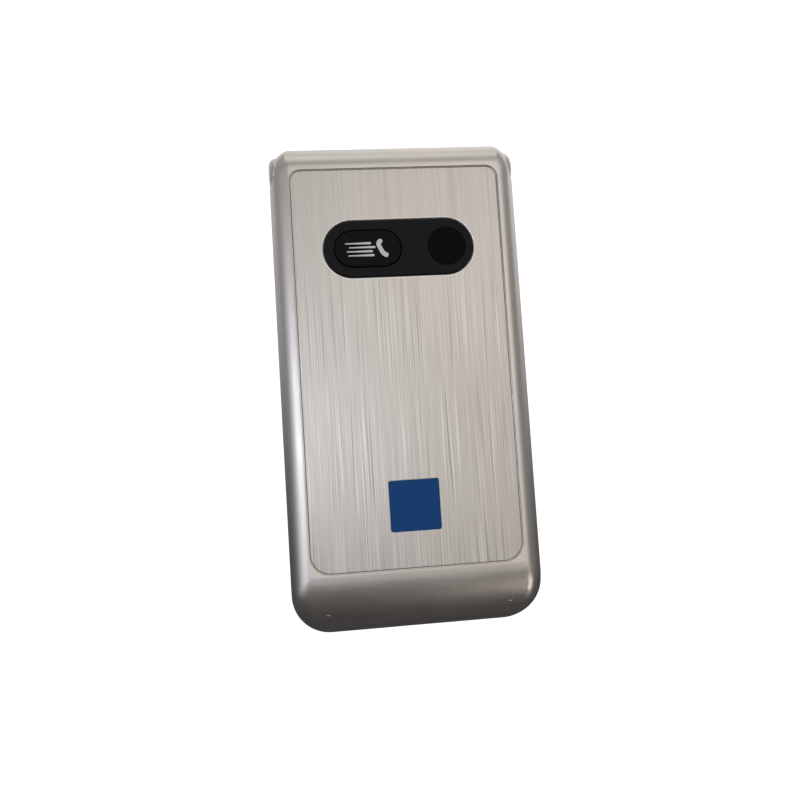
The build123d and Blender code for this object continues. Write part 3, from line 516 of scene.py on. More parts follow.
def deck_mask(tree):
    """The sunken deck of the keypad half."""
    inside = rectangle_mask(tree, deck_centre[:2], deck_size[:2])
    return multiply(inside, height_mask(tree, deck_rim))


def face_mask(tree):
    """The flat face round the display."""
    return height_mask(tree, box_in_mm("lid_inner_shell")[0].z + face_depth)


housing_finish = two_tone("keypad_housing_finish", deck_mask, (0.018, 0.018, 0.02), 0.5)
face_finish = two_tone("display_face_finish", face_mask, (0.008, 0.008, 0.009), 0.14)
print("black deck", tuple(round(v, 1) for v in deck_size[:2]), "below", deck_rim)

# %% [markdown]
# Small metal parts differ only in colour and polish. Rolled or turned steel has a faint
# grain, so the same finish is used with a finer relief. Circuit boards are green lacquer over
# copper, and a noise of squares draws their tracks and pads.

# %% Finish: metals and boards
def bare_metal(name, colour, roughness):
    """Plain metal with a faint rolled grain."""
    material, tree, shader = new_material(name, colour, Metallic=1.0)
    finish_surface(tree, shader, 0.15, 0.002, roughness, 0.06, edge_radius=0.08)
    return material


def printed_board(name, colour, tracks_colour=(0.02, 0.11, 0.05), pads_colour=(0.75, 0.55, 0.25)):
    """A circuit board: green lacquer over copper tracks, bare pads here and there."""
    material, tree, shader = new_material(name, colour, Roughness=0.35)
    squares = add_node(
        tree,
        "ShaderNodeTexVoronoi",
        {"Vector": object_place(tree), "Scale": 0.45 / MM, "Randomness": 0.7},
        distance="CHEBYCHEV",
    ).outputs["Distance"]
    tracks = map_values(squares, 0.33, 0.36)
    pads = map_values(squares, 0.09, 0.07)
    green = mix_colours(tracks, colour, tracks_colour)
    plated = mix_colours(pads, green, pads_colour)
    feed(shader, Base_Color=plated, Metallic=pads, Normal=relief_of(tracks, 0.02))
    return material


steel = bare_metal("bright_steel", (0.62, 0.62, 0.62), 0.28)
panel_metal = bare_metal("panel_metal", (0.66, 0.66, 0.67), 0.4)
dark_steel = bare_metal("dark_screw", (0.09, 0.09, 0.095), 0.38)
gold = bare_metal("contact_gold", (0.85, 0.62, 0.28), 0.25)
mesh_steel = bare_metal("fine_mesh_steel", (0.22, 0.22, 0.23), 0.4)
board_green = printed_board("board_green", (0.03, 0.18, 0.08))
nav_paint = satin_paint("nav_ring_silver", (0.55, 0.54, 0.53))
print("metals and boards, the brightest", panel_metal.name)

# %% [markdown]
# The battery is a foil cell in a dark shrink sleeve with one plain pale label on each broad
# face. A label is a sheet of paper, so it is a mask with a sharp edge and a thin dark frame
# inside it, and it carries no words.

# %% Finish: battery sleeve with a blank label
label_insets = (5.0, 7.4, 7.9)
sleeve_dark = (0.05, 0.05, 0.055)
label_pale = (0.55, 0.56, 0.57)
label_line = (0.05, 0.06, 0.08)

battery_low, battery_high = box_in_mm("battery")
battery_size = battery_high - battery_low
battery_sleeve = moulded_plastic("battery_sleeve", sleeve_dark, 0.5, 0.002)
battery_tree = battery_sleeve.node_tree
paper, frame_outside, frame_inside = (
    rectangle_mask(
        battery_tree,
        ((battery_low + battery_high) / 2)[:2],
        (battery_size.x - inset, battery_size.y - inset),
    )
    for inset in label_insets
)
label_frame = subtract(frame_outside, frame_inside)
label = mix_colours(label_frame, label_pale, label_line)
sleeve_tint = mix_colours(paper, sleeve_dark, label)
feed(battery_tree.nodes["Principled BSDF"], Base_Color=sleeve_tint)
print("battery label on", tuple(round(v, 1) for v in battery_size))

# %% [markdown]
# Each node of the model gets its finish by name. A list of names per finish reads like a parts
# list, and the last lines prove that no node was forgotten.

# %% Dress the model's own pieces
number_keys = sorted(name for name in nodes if name.startswith("number_key_"))
finishes = {
    silver_paint: ["lid_outer_shell", "rear_housing", "rear_cover", "volume_up_key", "volume_down_key"],
    plate_finish: ["decor_plate"],
    window_black: ["window_bezel"],
    pad_black: ["outer_call_key"],
    camera_glass: ["camera_window"],
    module_black: ["camera_module", "earpiece", "loudspeaker", "antenna"],
    badge_blue: ["badge"],
    display_glass: ["display_window"],
    housing_finish: ["keypad_housing"],
    face_finish: ["lid_inner_shell"],
    key_black: [*number_keys, "soft_key_left", "soft_key_right", "call_key", "end_key", "ok_key"],
    nav_paint: ["nav_ring"],
    rubber: ["keypad_mat", "lid_bumpers"],
    steel: ["hinge_can", "hinge_cam", "hinge_pin", "hinge_spring", "vibration_motor", "lid_magnet",
            "usb_socket"],
    panel_metal: ["display_module", "shield_cans", "dome_sheet", "sim_holder", "microphone"],
    dark_steel: ["lid_screws", "case_screws"],
    gold: ["battery_contacts"],
    mesh_steel: ["earpiece_mesh"],
    board_green: ["main_board", "lid_board"],
    flex_amber: ["hinge_flex"],
    battery_sleeve: ["battery"],
}
dressed = set()
for finish, names in finishes.items():
    for name in names:
        nodes[name].data.materials.clear()
        nodes[name].data.materials.append(finish)
        dressed.add(name)
assert dressed == set(nodes), sorted(set(nodes) ^ dressed)
print("dressed", len(dressed), "nodes with", len(finishes), "finishes")

# %% [markdown]
# Marks printed on keys are thin raised meshes, so they survive an export. A flat outline is
# turned into a closed slab that stands on the top face of its key and rides on the key's body.
# A point of an outline is one complex number, X + Yj in millimetres, because then a shift is a
# sum and a turn is a product.

# %% Helpers for printed marks
print_height = 0.03


def make_piece(name, mesh, finish, body):
    """Links a finished mesh as a piece that rides on a body."""
    piece = bpy.data.objects.new(name, mesh)
    bpy.context.scene.collection.objects.link(piece)
    mesh.materials.clear()
    mesh.materials.append(finish)
    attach(piece, body)
    return piece


def slab_mesh(name, outlines, low):
    """Closed slabs over outlines, from a height in millimetres upwards."""
    corners, faces = [], []
    for outline in outlines:
        count = len(outline)
        area = sum((a.conjugate() * b).imag for a, b in zip(outline, [*outline[1:], outline[0]]))
        top = [len(corners) + count + place for place in range(count)][::1 if area > 0 else -1]
        faces += [top, [corner - count for corner in reversed(top)]]
        faces += [(a, a - count, b - count, b) for a, b in zip(top, [*top[1:], top[0]])]
        corners += [Vector((p.real, p.imag, z)) * MM for z in (low, low + print_height) for p in outline]
    mesh = bpy.data.meshes.new(name)
    mesh.from_pydata(corners, [], faces)
    return mesh


def top_centre(node):
    """The middle of a node's top face, in millimetres."""
    low, high = box_in_mm(node)
    return Vector(((low.x + high.x) / 2, (low.y + high.y) / 2, high.z))


def flat_centre(node):
    """The same place as a point of an outline."""
    return complex(*top_centre(node)[:2])


def print_mark(name, outlines, node, ink, body):
    """Prints outlines on a node's top face, half sunk in it so that no gap shows."""
    mesh = slab_mesh(name, outlines, top_centre(node).z - print_height / 2)
    make_piece(name, mesh, ink, body)


print("marks are", print_height, "mm thick")

# %% [markdown]
# All marks but the numerals are bars with round ends. A straight bar can be wider at one end,
# and a curved one has its own half width at each point, so a handset is a bent bar that is
# thickest at its two ends.

# %% Outlines of bars and of a handset
handset_spine = [-0.62 + 1.6j, -1.02 + 1.08j, -0.62 + 0j, -0.08 - 0.98j, 0.52 - 1.38j]
handset_halves = [0.52, 0.48, 0.47, 0.48, 0.54]
line_steps = 6
line_cap_steps = 7
bar_cap_steps = 8


def round_bar(start, end, start_width, end_width):
    """The outline of a bar with round ends, wider at one end than at the other."""
    heading = cmath.phase(end - start)
    return [
        centre + cmath.rect(width / 2, heading + math.radians(turn + 180 * step / bar_cap_steps))
        for centre, width, turn in ((end, end_width, -90), (start, start_width, 90))
        for step in range(bar_cap_steps + 1)
    ]


def smooth_line(points):
    """Points on a smooth curve through a few given points."""
    padded = [points[0], *points, points[-1]]
    line = [
        (2 * s + (e - b) * t + (2 * b - 5 * s + 4 * e - a) * t**2 + (3 * s - b - 3 * e + a) * t**3) / 2
        for b, s, e, a in zip(padded, padded[1:], padded[2:], padded[3:])
        for t in (step / line_steps for step in range(line_steps))
    ]
    return [*line, points[-1]]


def thick_line(spine, halves):
    """The outline of a curved bar with round ends and its own half width at each spine point."""
    headings = [cmath.phase(b - a) for a, b in zip([spine[0], *spine], [*spine[1:], spine[-1]])]
    left, right = (
        [point + cmath.rect(half, heading + turn) for point, half, heading in zip(spine, halves, headings)]
        for turn in (math.pi / 2, -math.pi / 2)
    )
    far_cap, near_cap = (
        [
            spine[end] + cmath.rect(halves[end], away + math.pi / 2 - math.pi * step / line_cap_steps)
            for step in range(1, line_cap_steps)
        ]
        for end, away in ((-1, cmath.phase(spine[-1] - spine[-2])), (0, cmath.phase(spine[0] - spine[1])))
    )
    return [*left, *far_cap, *reversed(right), *near_cap]


def handset(centre, size, turn=0.0):
    """The outline of a telephone handset, its back to the lower left."""
    halves = [
        first + (second - first) * step / line_steps
        for first, second in zip(handset_halves, handset_halves[1:])
        for step in range(line_steps)
    ]
    outline = thick_line(smooth_line(handset_spine), [*halves, handset_halves[-1]])
    return [centre + cmath.rect(size, turn) * point for point in outline]


print("a handset's outline has", len(handset(0j, 1.0)), "points")

# %% [markdown]
# The outside call key carries a small handset with four speed lines beside it. The lines are
# staggered and taper to the left. Each is given by its two ends and its height on the key.

# %% Symbol on the outside call key
speed_lines = [(-4.8, 0.45, 1.12), (-4.0, 1.35, 0.24), (-4.5, 0.75, -0.64), (-4.25, 1.05, -1.52)]
line_widths = (0.22, 0.5)
handset_shift = 3.3 - 0.12j

pad_centre = flat_centre("outer_call_key")
symbol = [
    round_bar(pad_centre + complex(start, rise), pad_centre + complex(end, rise), *line_widths)
    for start, end, rise in speed_lines
]
symbol.append(handset(pad_centre + handset_shift, 1.0))
print_mark("outer_call_symbol", symbol, "outer_call_key", ink_white, "outer_call_pad")
print("symbol of", len(symbol), "outlines on the outside key")

# %% [markdown]
# Text is a curve object until it is turned into a mesh. Each numeral is made a mesh first and
# then moved to its key, so that the finished object sits at the origin like every other piece.

# %% Numerals on the keypad
numeral_height = 4.6
star_height = 8.0
signs = {"hash": "#", "star": "*"}


def text_mesh(name, words, centre, height):
    """Raised lettering whose middle is at a point, as a plain mesh."""
    curve = bpy.data.curves.new(name, "FONT")
    curve.body = words
    curve.size = height * MM
    curve.extrude = print_height / 2 * MM
    curve.resolution_u = 3
    text = bpy.data.objects.new(name, curve)
    bpy.context.scene.collection.objects.link(text)
    bpy.context.view_layer.update()
    graph = bpy.context.evaluated_depsgraph_get()
    mesh = bpy.data.meshes.new_from_object(text.evaluated_get(graph))
    bpy.data.objects.remove(text)
    along_axes = list(zip(*(vertex.co for vertex in mesh.vertices)))
    lowest, highest = (Vector([pick(values) for values in along_axes]) for pick in (min, max))
    mesh.transform(Matrix.Translation(centre * MM - (lowest + highest) / 2))
    mesh.name = name
    return mesh


for name in number_keys:
    label = name.removeprefix("number_key_")
    height = star_height if label == "star" else numeral_height
    mesh = text_mesh(f"legend_{label}", signs.get(label, label), top_centre(name), height)
    make_piece(f"legend_{label}", mesh, ink_white, f"{name}_body")
print("numerals and signs", len(number_keys))

# %% [markdown]
# The call key has a green handset, the end key a red one that is turned as if it were laid
# down, and each soft key a short bar. The navigation ring has a small arrow at each quarter and
# the middle key a round dot. The arrows differ only by a quarter turn, so one triangle is
# turned four times.

# %% Marks on the other keys
handset_size = 1.35
laid_down = math.radians(135)
bar_half, bar_width = 1.5, 0.6
dot_width = 1.3
arrow_reach = 6.9
arrow_shape = [0.75 + 0j, -0.4 + 1j, -0.4 - 1j]

for name, ink, turn in (("call_key", ink_green, 0.0), ("end_key", ink_red, laid_down)):
    outline = handset(flat_centre(name), handset_size, turn)
    print_mark(f"{name}_symbol", [outline], name, ink, f"{name}_body")

for name in ("soft_key_left", "soft_key_right"):
    centre = flat_centre(name)
    bar = round_bar(centre - bar_half, centre + bar_half, bar_width, bar_width)
    print_mark(f"{name}_symbol", [bar], name, ink_white, f"{name}_body")

ring_centre = flat_centre("nav_ring")
arrows = [
    [ring_centre + 1j**quarter * (arrow_reach + point) for point in arrow_shape] for quarter in range(4)
]
print_mark("nav_arrows", arrows, "nav_ring", ink_dark, "nav_ring_body")

dot_centre = flat_centre("ok_key")
dot = round_bar(dot_centre, dot_centre, dot_width, dot_width)
print_mark("ok_dot", [dot], "ok_key", ink_white, "ok_key_body")
print("marks on the other keys", 4 + len(arrows) + 1)

# %% [markdown]
# Screws, wire meshes and contact strips repeat, so Geometry Nodes make them: a tree builds one
# shape from a few named sizes and sets it on every point it is given. The result is baked to a
# plain mesh, because the moving model knows only meshes.

# %% Helpers for trees that build meshes
def new_geometry_tree(name, **sizes):
    """A geometry tree with named inputs in metres. Returns it with its inputs and its end."""
    tree = bpy.data.node_groups.new(name, "GeometryNodeTree")
    tree.interface.new_socket("Points", in_out="INPUT", socket_type="NodeSocketGeometry")
    for key, value in sizes.items():
        label = key.replace("_", " ")
        socket = tree.interface.new_socket(label, in_out="INPUT", socket_type="NodeSocketFloat")
        socket.default_value = value * MM
    tree.interface.new_socket("Geometry", in_out="OUTPUT", socket_type="NodeSocketGeometry")
    return tree, tree.nodes.new("NodeGroupInput").outputs, tree.nodes.new("NodeGroupOutput")


def shifted(geometry, z):
    """Geometry moved up."""
    return output_of({"Geometry": geometry, "Translation": vector_of(Z=z)}, "GeometryNodeTransform")


def box_of(x, y, z):
    """A box with three sizes."""
    return output_of({"Size": vector_of(X=x, Y=y, Z=z)}, "GeometryNodeMeshCube")


def cylinder_of(radius, height, corners):
    """A cylinder round the origin."""
    return output_of({"Vertices": corners, "Radius": radius, "Depth": height}, "GeometryNodeMeshCylinder")


def ring_profile(radius, corners):
    """A circle drawn with a few corners."""
    return output_of({"Resolution": corners, "Radius": radius}, "GeometryNodeCurvePrimitiveCircle")


def swept(line, profile):
    """A solid bar: a closed profile drawn along a line."""
    inputs = {"Curve": line, "Profile Curve": profile, "Fill Caps": True}
    return output_of(inputs, "GeometryNodeCurveToMesh")


def many_into(node, socket, *parts):
    """Links several geometries to one input. Returns the node's output."""
    for part in parts:
        node.id_data.links.new(part, node.inputs[socket])
    return node.outputs[0]


def joined(tree, *parts):
    """Several geometries as one."""
    return many_into(tree.nodes.new("GeometryNodeJoinGeometry"), 0, *parts)


def copied(points, shape, **how):
    """The shape on every point. It can be turned or scaled by another value."""
    return output_of({"Points": points, "Instance": shape, **how}, "GeometryNodeInstanceOnPoints")


def end_tree(end, copies, finish):
    """Ends a tree: copies are made real and get their finish."""
    real = output_of({0: copies}, "GeometryNodeRealizeInstances")
    feed(end, Geometry=output_of({"Geometry": real, "Material": finish}, "GeometryNodeSetMaterial"))


def built_mesh(name, tree, points, **sizes):
    """Runs a tree on points and sizes given in millimetres and returns a plain mesh."""
    cloud = bpy.data.meshes.new(f"{name}_points")
    cloud.from_pydata([Vector(point) * MM for point in points], [], [])
    carrier = bpy.data.objects.new(f"{name}_points", cloud)
    bpy.context.scene.collection.objects.link(carrier)
    modifier = carrier.modifiers.new("build", "NODES")
    modifier.node_group = tree
    for socket in tree.interface.items_tree:
        key = socket.name.replace(" ", "_")
        if socket.in_out == "INPUT" and key in sizes:
            modifier[socket.identifier] = sizes[key] * MM
    graph = bpy.context.evaluated_depsgraph_get()
    mesh = bpy.data.meshes.new_from_object(carrier.evaluated_get(graph))
    bpy.data.objects.remove(carrier)
    mesh.name = name
    print(name, len(points), "points", len(mesh.polygons), "faces")
    return mesh


print("helpers for trees are ready")

# %% [markdown]
# The case is held by small screws with a chamfered head and a cross recess. The head is a
# cylinder cut by a wide cone and by two crossed bars. It stands on the screw's lowest point,
# because the screws go in from below.

# %% Tree for screws: the head
head_height_mm = 0.7
screw_tree, screw_size, screw_end = new_geometry_tree(
    "cross_head_screws",
    Head_Radius=1.3,
    Head_Height=head_height_mm,
    Head_Chamfer=0.18,
    Shank_Radius=0.6,
    Shank_Length=4.5,
    Thread_Pitch=0.55,
    Thread_Depth=0.13,
    Recess_Length=1.5,
    Recess_Width=0.36,
    Recess_Depth=0.42,
)
head_height = screw_size["Head Height"]
head_radius = screw_size["Head Radius"]
head_cylinder = cylinder_of(head_radius, head_height, 40)
cone_foot = subtract(head_radius, screw_size["Head Chamfer"])
cone_height = multiply(head_height, 2)
cone_top = add(cone_foot, cone_height)
cone_sizes = {"Radius Bottom": cone_foot, "Radius Top": cone_top, "Depth": cone_height}
chamfer_cone = output_of({"Vertices": 40, **cone_sizes}, "GeometryNodeMeshCone")
head_blank = many_into(
    add_node(screw_tree, "GeometryNodeMeshBoolean", operation="INTERSECT"),
    "Mesh 2",
    shifted(head_cylinder, divide(head_height, 2)),
    chamfer_cone,
)
recess_depth = multiply(screw_size["Recess Depth"], 2)
recess_sizes = (screw_size["Recess Length"], screw_size["Recess Width"])
screw_head = many_into(
    add_node(screw_tree, "GeometryNodeMeshBoolean", {"Mesh 1": head_blank}, operation="DIFFERENCE"),
    "Mesh 2",
    *(box_of(*pair, recess_depth) for pair in (recess_sizes, recess_sizes[::-1])),
)
print("screw heads", head_height_mm, "mm high")

# %% [markdown]
# The thread is a four-cornered ridge swept along a spiral round the core, as a rolled thread
# is. Each screw stops at its own angle, so a random turn of up to a quarter is enough for a
# cross recess.

# %% Tree for screws: the shank and its places
shank_length = screw_size["Shank Length"]
thread_depth = screw_size["Thread Depth"]
core_radius = subtract(screw_size["Shank Radius"], thread_depth)
core = cylinder_of(core_radius, shank_length, 20)
core_middle = add(head_height, divide(shank_length, 2))
spiral = {
    "Resolution": 18,
    "Rotations": divide(shank_length, screw_size["Thread Pitch"]),
    "Start Radius": core_radius,
    "End Radius": core_radius,
    "Height": shank_length,
}
ridge = swept(output_of(spiral, "GeometryNodeCurveSpiral"), ring_profile(thread_depth, 4))
screw = joined(screw_tree, screw_head, shifted(core, core_middle), shifted(ridge, head_height))
screw_turn = add_node(
    screw_tree,
    "FunctionNodeRandomValue",
    {0: (0.0, 0.0, 0.0), 1: (0.0, 0.0, math.pi / 2), "Seed": 4},
    data_type="FLOAT_VECTOR",
).outputs[0]
end_tree(screw_end, copied(screw_size["Points"], screw, Rotation=screw_turn), dark_steel)
print("tree cross_head_screws", len(screw_tree.nodes), "nodes")

# %% [markdown]
# The model has plain screws, several in one node. Their places are found in it by collecting
# the corners that hang together, so the threaded ones stand exactly where the plain ones stood.

# %% Screws of the case and the lid
def solid_centres(node):
    """The middle of each separate solid in a node, seen from above, in millimetres."""
    shape = bmesh.new()
    shape.from_mesh(nodes[node].data)
    bmesh.ops.remove_doubles(shape, verts=shape.verts, dist=0.001 * MM)
    left = set(shape.verts)
    centres = []
    while left:
        solid = set()
        reached = {next(iter(left))}
        while reached:
            solid |= reached
            reached = {edge.other_vert(v) for v in reached for edge in v.link_edges} - solid
        left -= solid
        ends = ([pick(v.co[axis] for v in solid) for pick in (min, max)] for axis in range(2))
        centres.append(tuple(round(sum(pair) / 2 / MM, 3) for pair in ends))
    shape.free()
    return sorted(centres)


for name, body in (("case_screws", "base"), ("lid_screws", "lid")):
    low, high = box_in_mm(name)
    points = [(*centre, low.z) for centre in solid_centres(name)]
    length = high.z - low.z - head_height_mm
    mesh = built_mesh(f"{name}_threaded", screw_tree, points, Shank_Length=length)
    screws = make_piece(f"{name}_threaded", mesh, dark_steel, body)
    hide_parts(name)

# %% [markdown]
# Behind the earpiece slot and behind each slot of the loudspeaker lies a fine wire mesh that
# keeps dust out. Wires are laid in two directions, and each is only as long as the round-ended
# slot is at its place, so the mesh fits the slot.

# %% Tree: wire mesh in a slot
mesh_tree, mesh_size, mesh_end = new_geometry_tree(
    "slot_wire_mesh",
    Slot_Length=11.0,
    Slot_Width=1.8,
    Pitch=0.26,
    Wire_Radius=0.05,
)
wire_pitch = mesh_size["Pitch"]
slot_radius = divide(mesh_size["Slot Width"], 2)
slot_half = divide(mesh_size["Slot Length"], 2)
straight_half = subtract(slot_half, slot_radius)
wire_profile = ring_profile(mesh_size["Wire Radius"], 6)


def round_reach(offset):
    """Half the width of the slot's round end at a distance from its centre."""
    square = multiply(slot_radius, slot_radius)
    left = subtract(square, multiply(offset, offset))
    return root(larger(left, 0.0))


def wire_layer(tree, along, across, spread, lift):
    """Parallel wires that run along one axis and are spread out across the other one."""
    count = whole(divide(spread, wire_pitch))
    first = multiply(multiply(count, -1.0), wire_pitch)
    row = {
        "Count": add(multiply(count, 2.0), 1.0),
        "Start Location": vector_of(**{across: first}),
        "Offset": vector_of(**{across: wire_pitch}),
    }
    place = add_node(tree, "GeometryNodeInputPosition").outputs[0]
    offset = add_node(tree, "ShaderNodeSeparateXYZ", {0: place}).outputs[across]
    if along == "X":
        reach = add(straight_half, round_reach(offset))
    else:
        past_end = subtract(absolute(offset), straight_half)
        reach = round_reach(larger(past_end, 0.0))
    end = tuple(float(axis == along) for axis in "XYZ")
    start = tuple(-value for value in end)
    line = add_node(tree, "GeometryNodeCurvePrimitiveLine", {"Start": start, "End": end}).outputs[0]
    scale = vector_of(**{"X": 1.0, "Y": 1.0, "Z": 1.0, along: reach})
    wires = copied(output_of(row, "GeometryNodeMeshLine"), swept(line, wire_profile), Scale=scale)
    return shifted(wires, multiply(mesh_size["Wire Radius"], lift))


wire_mesh = joined(
    mesh_tree,
    wire_layer(mesh_tree, "X", "Y", slot_radius, -1.0),
    wire_layer(mesh_tree, "Y", "X", slot_half, 1.0),
)
end_tree(mesh_end, copied(mesh_size["Points"], wire_mesh), mesh_steel)
print("tree slot_wire_mesh", len(mesh_tree.nodes), "nodes")

# %% [markdown]
# The earpiece's mesh takes the place and size of the plain plate that stands for it in the
# model. The loudspeaker has none there, so four small meshes are laid just under it, one
# behind each slot of the case.

# %% Meshes of the earpiece and the loudspeaker
speaker_slots = 4
speaker_slot_size = {"Slot_Length": 10.0, "Slot_Width": 1.0, "Pitch": 0.22}
speaker_pitch = 1.9
speaker_gap = 0.25

mesh_low, mesh_high = box_in_mm("earpiece_mesh")
ear_slot_size = {"Slot_Length": mesh_high.x - mesh_low.x, "Slot_Width": mesh_high.y - mesh_low.y}
ear_mesh = built_mesh("earpiece_wire_mesh", mesh_tree, [(mesh_low + mesh_high) / 2], **ear_slot_size)
ear_wires = make_piece("earpiece_wire_mesh", ear_mesh, mesh_steel, "lid")
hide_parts("earpiece_mesh")

speaker_low, speaker_high = box_in_mm("loudspeaker")
speaker_y = (speaker_low.y + speaker_high.y) / 2 - speaker_pitch * (speaker_slots - 1) / 2
speaker_points = [
    (0.0, speaker_y + speaker_pitch * place, speaker_low.z - speaker_gap) for place in range(speaker_slots)
]
speaker_mesh = built_mesh("loudspeaker_wire_mesh", mesh_tree, speaker_points, **speaker_slot_size)
make_piece("loudspeaker_wire_mesh", speaker_mesh, mesh_steel, "base")

# %% [markdown]
# Contacts are stamped strips in a row. The charging socket has five on its tongue, and the
# battery has three pads where the springs of the phone touch it. Both rows come from one tree
# that sets a strip on every point.

# %% Tree: contact strips
socket_strip = {"Strip_X": 3.2, "Strip_Y": 0.4, "Strip_Z": 0.08}
socket_strip_shift = Vector((0.3, 0.0, -0.3))
socket_pitch = 0.7
battery_pad = {"Strip_X": 1.8, "Strip_Y": 0.08, "Strip_Z": 0.9}
battery_pad_pitch = 3.0
battery_pad_lift = 0.2

strip_tree, strip_size, strip_end = new_geometry_tree("contact_strips", **socket_strip)
strip = box_of(*(strip_size[f"Strip {axis}"] for axis in "XYZ"))
end_tree(strip_end, copied(strip_size["Points"], strip), gold)

socket_low, socket_high = box_in_mm("usb_socket")
tongue = (socket_low + socket_high) / 2 + socket_strip_shift
socket_points = [tongue + Vector((0.0, socket_pitch * place, 0.0)) for place in range(-2, 3)]
socket_mesh = built_mesh("socket_contacts", strip_tree, socket_points)
make_piece("socket_contacts", socket_mesh, gold, "base")

pads_z = box_in_mm("battery_contacts")[0].z + battery_pad_lift
pad_points = [(battery_pad_pitch * place, battery_high.y, pads_z) for place in range(-1, 2)]
pad_mesh = built_mesh("battery_pads", strip_tree, pad_points, **battery_pad)
make_piece("battery_pads", pad_mesh, gold, "base")

# %% [markdown]
# The floor is a plain pale sheet that catches the shadow. The camera sees it as white through the light
# paths of its shader, while the lamps stay at a plain level. Mirrors see it with painted light instead: a
# glow that grows towards the hinge and the right, and a painted shade that darkens its colour towards the
# chin, because a satin metal needs something dark to mirror, or it looks like plaster.

# %% Floor
floor_reach = 3.0
floor_top = -0.02 * MM
floor_pale = (0.8, 0.8, 0.8)
mirrored_shade_colour = (0.03, 0.03, 0.03)
floor_white = 0.78

floor_corners = [
    (x * floor_reach, y * floor_reach, floor_top) for x, y in ((-1, -1), (1, -1), (1, 1), (-1, 1))
]
floor_mesh = bpy.data.meshes.new("floor")
floor_mesh.from_pydata(floor_corners, [], [(0, 1, 2, 3)])
floor = bpy.data.objects.new("floor", floor_mesh)
bpy.context.scene.collection.objects.link(floor)
floor_material, floor_tree, floor_shader = new_material("floor_sheet", floor_pale, Roughness=0.9)
floor_shader.inputs["Emission Color"].default_value = (1.0, 1.0, 1.0, 1.0)


def seen_directly(tree, straight, mirrored):
    """A strength for rays from the camera or through glass, and another for mirrored rays."""
    paths = add_node(tree, "ShaderNodeLightPath").outputs
    clear = larger(paths["Is Camera Ray"], paths["Is Transmission Ray"])
    clear_part = multiply(clear, straight)
    mirror_part = multiply(paths["Is Glossy Ray"], mirrored)
    return larger(clear_part, mirror_part)


floor_axes = object_axes(floor_tree)
# Painted light seen only in mirrors: the floor's glow grows towards the hinge and the right.
floor_upward = map_values(floor_axes["Y"], -0.08, 0.14, 0.0, 0.7, smooth=True)
floor_rightward = map_values(floor_axes["X"], -0.1, 0.02, 0.12, 1.0, smooth=True)
mirrored_painted_glow = multiply(floor_upward, floor_rightward)
floor_paths = add_node(floor_tree, "ShaderNodeLightPath").outputs
# Painted shade seen only in mirrors: the floor's colour darkens towards the chin.
painted_shade_towards_chin = map_values(floor_axes["Y"], 0.06, -0.04, 0.0, 1.0, smooth=True)
mirrored_painted_shade = multiply(floor_paths["Is Glossy Ray"], painted_shade_towards_chin)
feed(
    floor_shader,
    Emission_Strength=seen_directly(floor_tree, floor_white, mirrored_painted_glow),
    Base_Color=mix_colours(mirrored_painted_shade, floor_pale, mirrored_shade_colour),
)
print("floor", 2 * floor_reach, "m wide")

# %% [markdown]
# Seen from below, a floor would hide the phone's back. Its lower side is clear to look through,
# and light from underneath may pass the patch that the phone and its slid cover stand on, so the
# back can be looked at while nothing changes from above.

# %% A floor that is clear from below
covered_size = (60.0, 140.0)

covered = rectangle_mask(floor_tree, (0.0, 0.0), covered_size)
light_passes = multiply(covered, floor_paths["Is Shadow Ray"])
from_below = add_node(floor_tree, "ShaderNodeNewGeometry").outputs["Backfacing"]
floor_mix = add_node(
    floor_tree,
    "ShaderNodeMixShader",
    {
        0: larger(light_passes, from_below),
        1: floor_shader.outputs[0],
        2: add_node(floor_tree, "ShaderNodeBsdfTransparent").outputs[0],
    },
)
feed(floor_tree.nodes["Material Output"], Surface=floor_mix.outputs[0])
floor_mesh.materials.append(floor_material)
print("clear patch", covered_size)

# %% [markdown]
# The room behind the lamps is white to the camera as well, and dim to everything else. It is
# dimmest on the chin side, for the same reason as the floor.

# %% Room
room_dim, room_bright = 0.02, 0.36

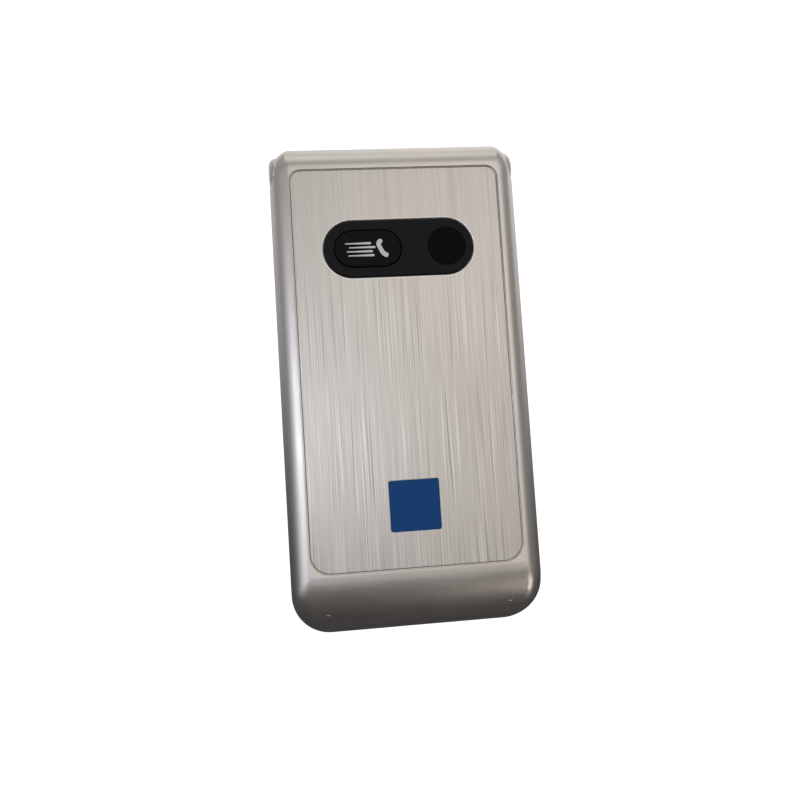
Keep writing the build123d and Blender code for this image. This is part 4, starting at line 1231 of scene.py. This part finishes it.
world = bpy.data.worlds.new("studio")
bpy.context.scene.world = world
world.use_nodes = True
world_tree = world.node_tree
background = world_tree.nodes["Background"]
background.inputs["Color"].default_value = (1.0, 1.0, 1.0, 1.0)
direction = add_node(world_tree, "ShaderNodeTexCoord").outputs["Generated"]
towards_hinge = add_node(world_tree, "ShaderNodeSeparateXYZ", {0: direction}).outputs["Y"]
room_level = map_values(towards_hinge, -0.7, 0.5, room_dim, room_bright, smooth=True)
seen_white = seen_directly(world_tree, 1.0, 0.0)
feed(background, Strength=larger(room_level, seen_white))
print("room from", room_dim, "to", room_bright)

# %% [markdown]
# A wide warm panel hangs over the phone, a cooler one stands on its left, a narrow strip
# between them draws the bright line along the left rail, a small warm lamp lights the right
# corner of the chin, and a low panel behind the hinge lights the round end. One more lamp under
# the floor is for views of the back.

# %% Lamps
def soft_lamp(name, place, aim, size, power, colour=(1.0, 1.0, 1.0)):
    """A rectangular lamp that faces a point. Places and sizes are in metres."""
    data = bpy.data.lights.new(name, "AREA")
    data.shape = "RECTANGLE"
    data.size, data.size_y = size
    data.energy = power
    data.color = colour
    lamp = bpy.data.objects.new(name, data)
    lamp.location = place
    lamp.rotation_euler = (Vector(aim) - Vector(place)).to_track_quat("-Z", "Y").to_euler()
    bpy.context.scene.collection.objects.link(lamp)


soft_lamp("overhead_lamp", (0.3, 0.14, 0.75), (0.3, 0.14, 0), (0.7, 0.72), 1.5, (1.0, 0.955, 0.91))
soft_lamp("left_lamp", (-0.42, -0.04, 0.5), (0, 0, 0), (0.4, 0.55), 0.6, (0.78, 0.86, 1.0))
soft_lamp("strip_lamp", (-0.22, 0.0, 0.58), (0, 0, 0), (0.07, 0.5), 0.62, (0.84, 0.9, 1.0))
soft_lamp("right_lamp", (0.4, -0.5, 0.5), (0, -0.03, 0), (0.3, 0.3), 0.65, (1.0, 0.92, 0.84))
soft_lamp("under_lamp", (0.0, -0.1, -0.6), (0, 0, 0), (0.6, 0.6), 1.0)
soft_lamp("back_lamp", (0.0, 0.9, 0.35), (0, 0.05, 0), (0.9, 0.5), 1.2, (1.0, 0.97, 0.94))
print("lamps", [light.name for light in bpy.data.lights])
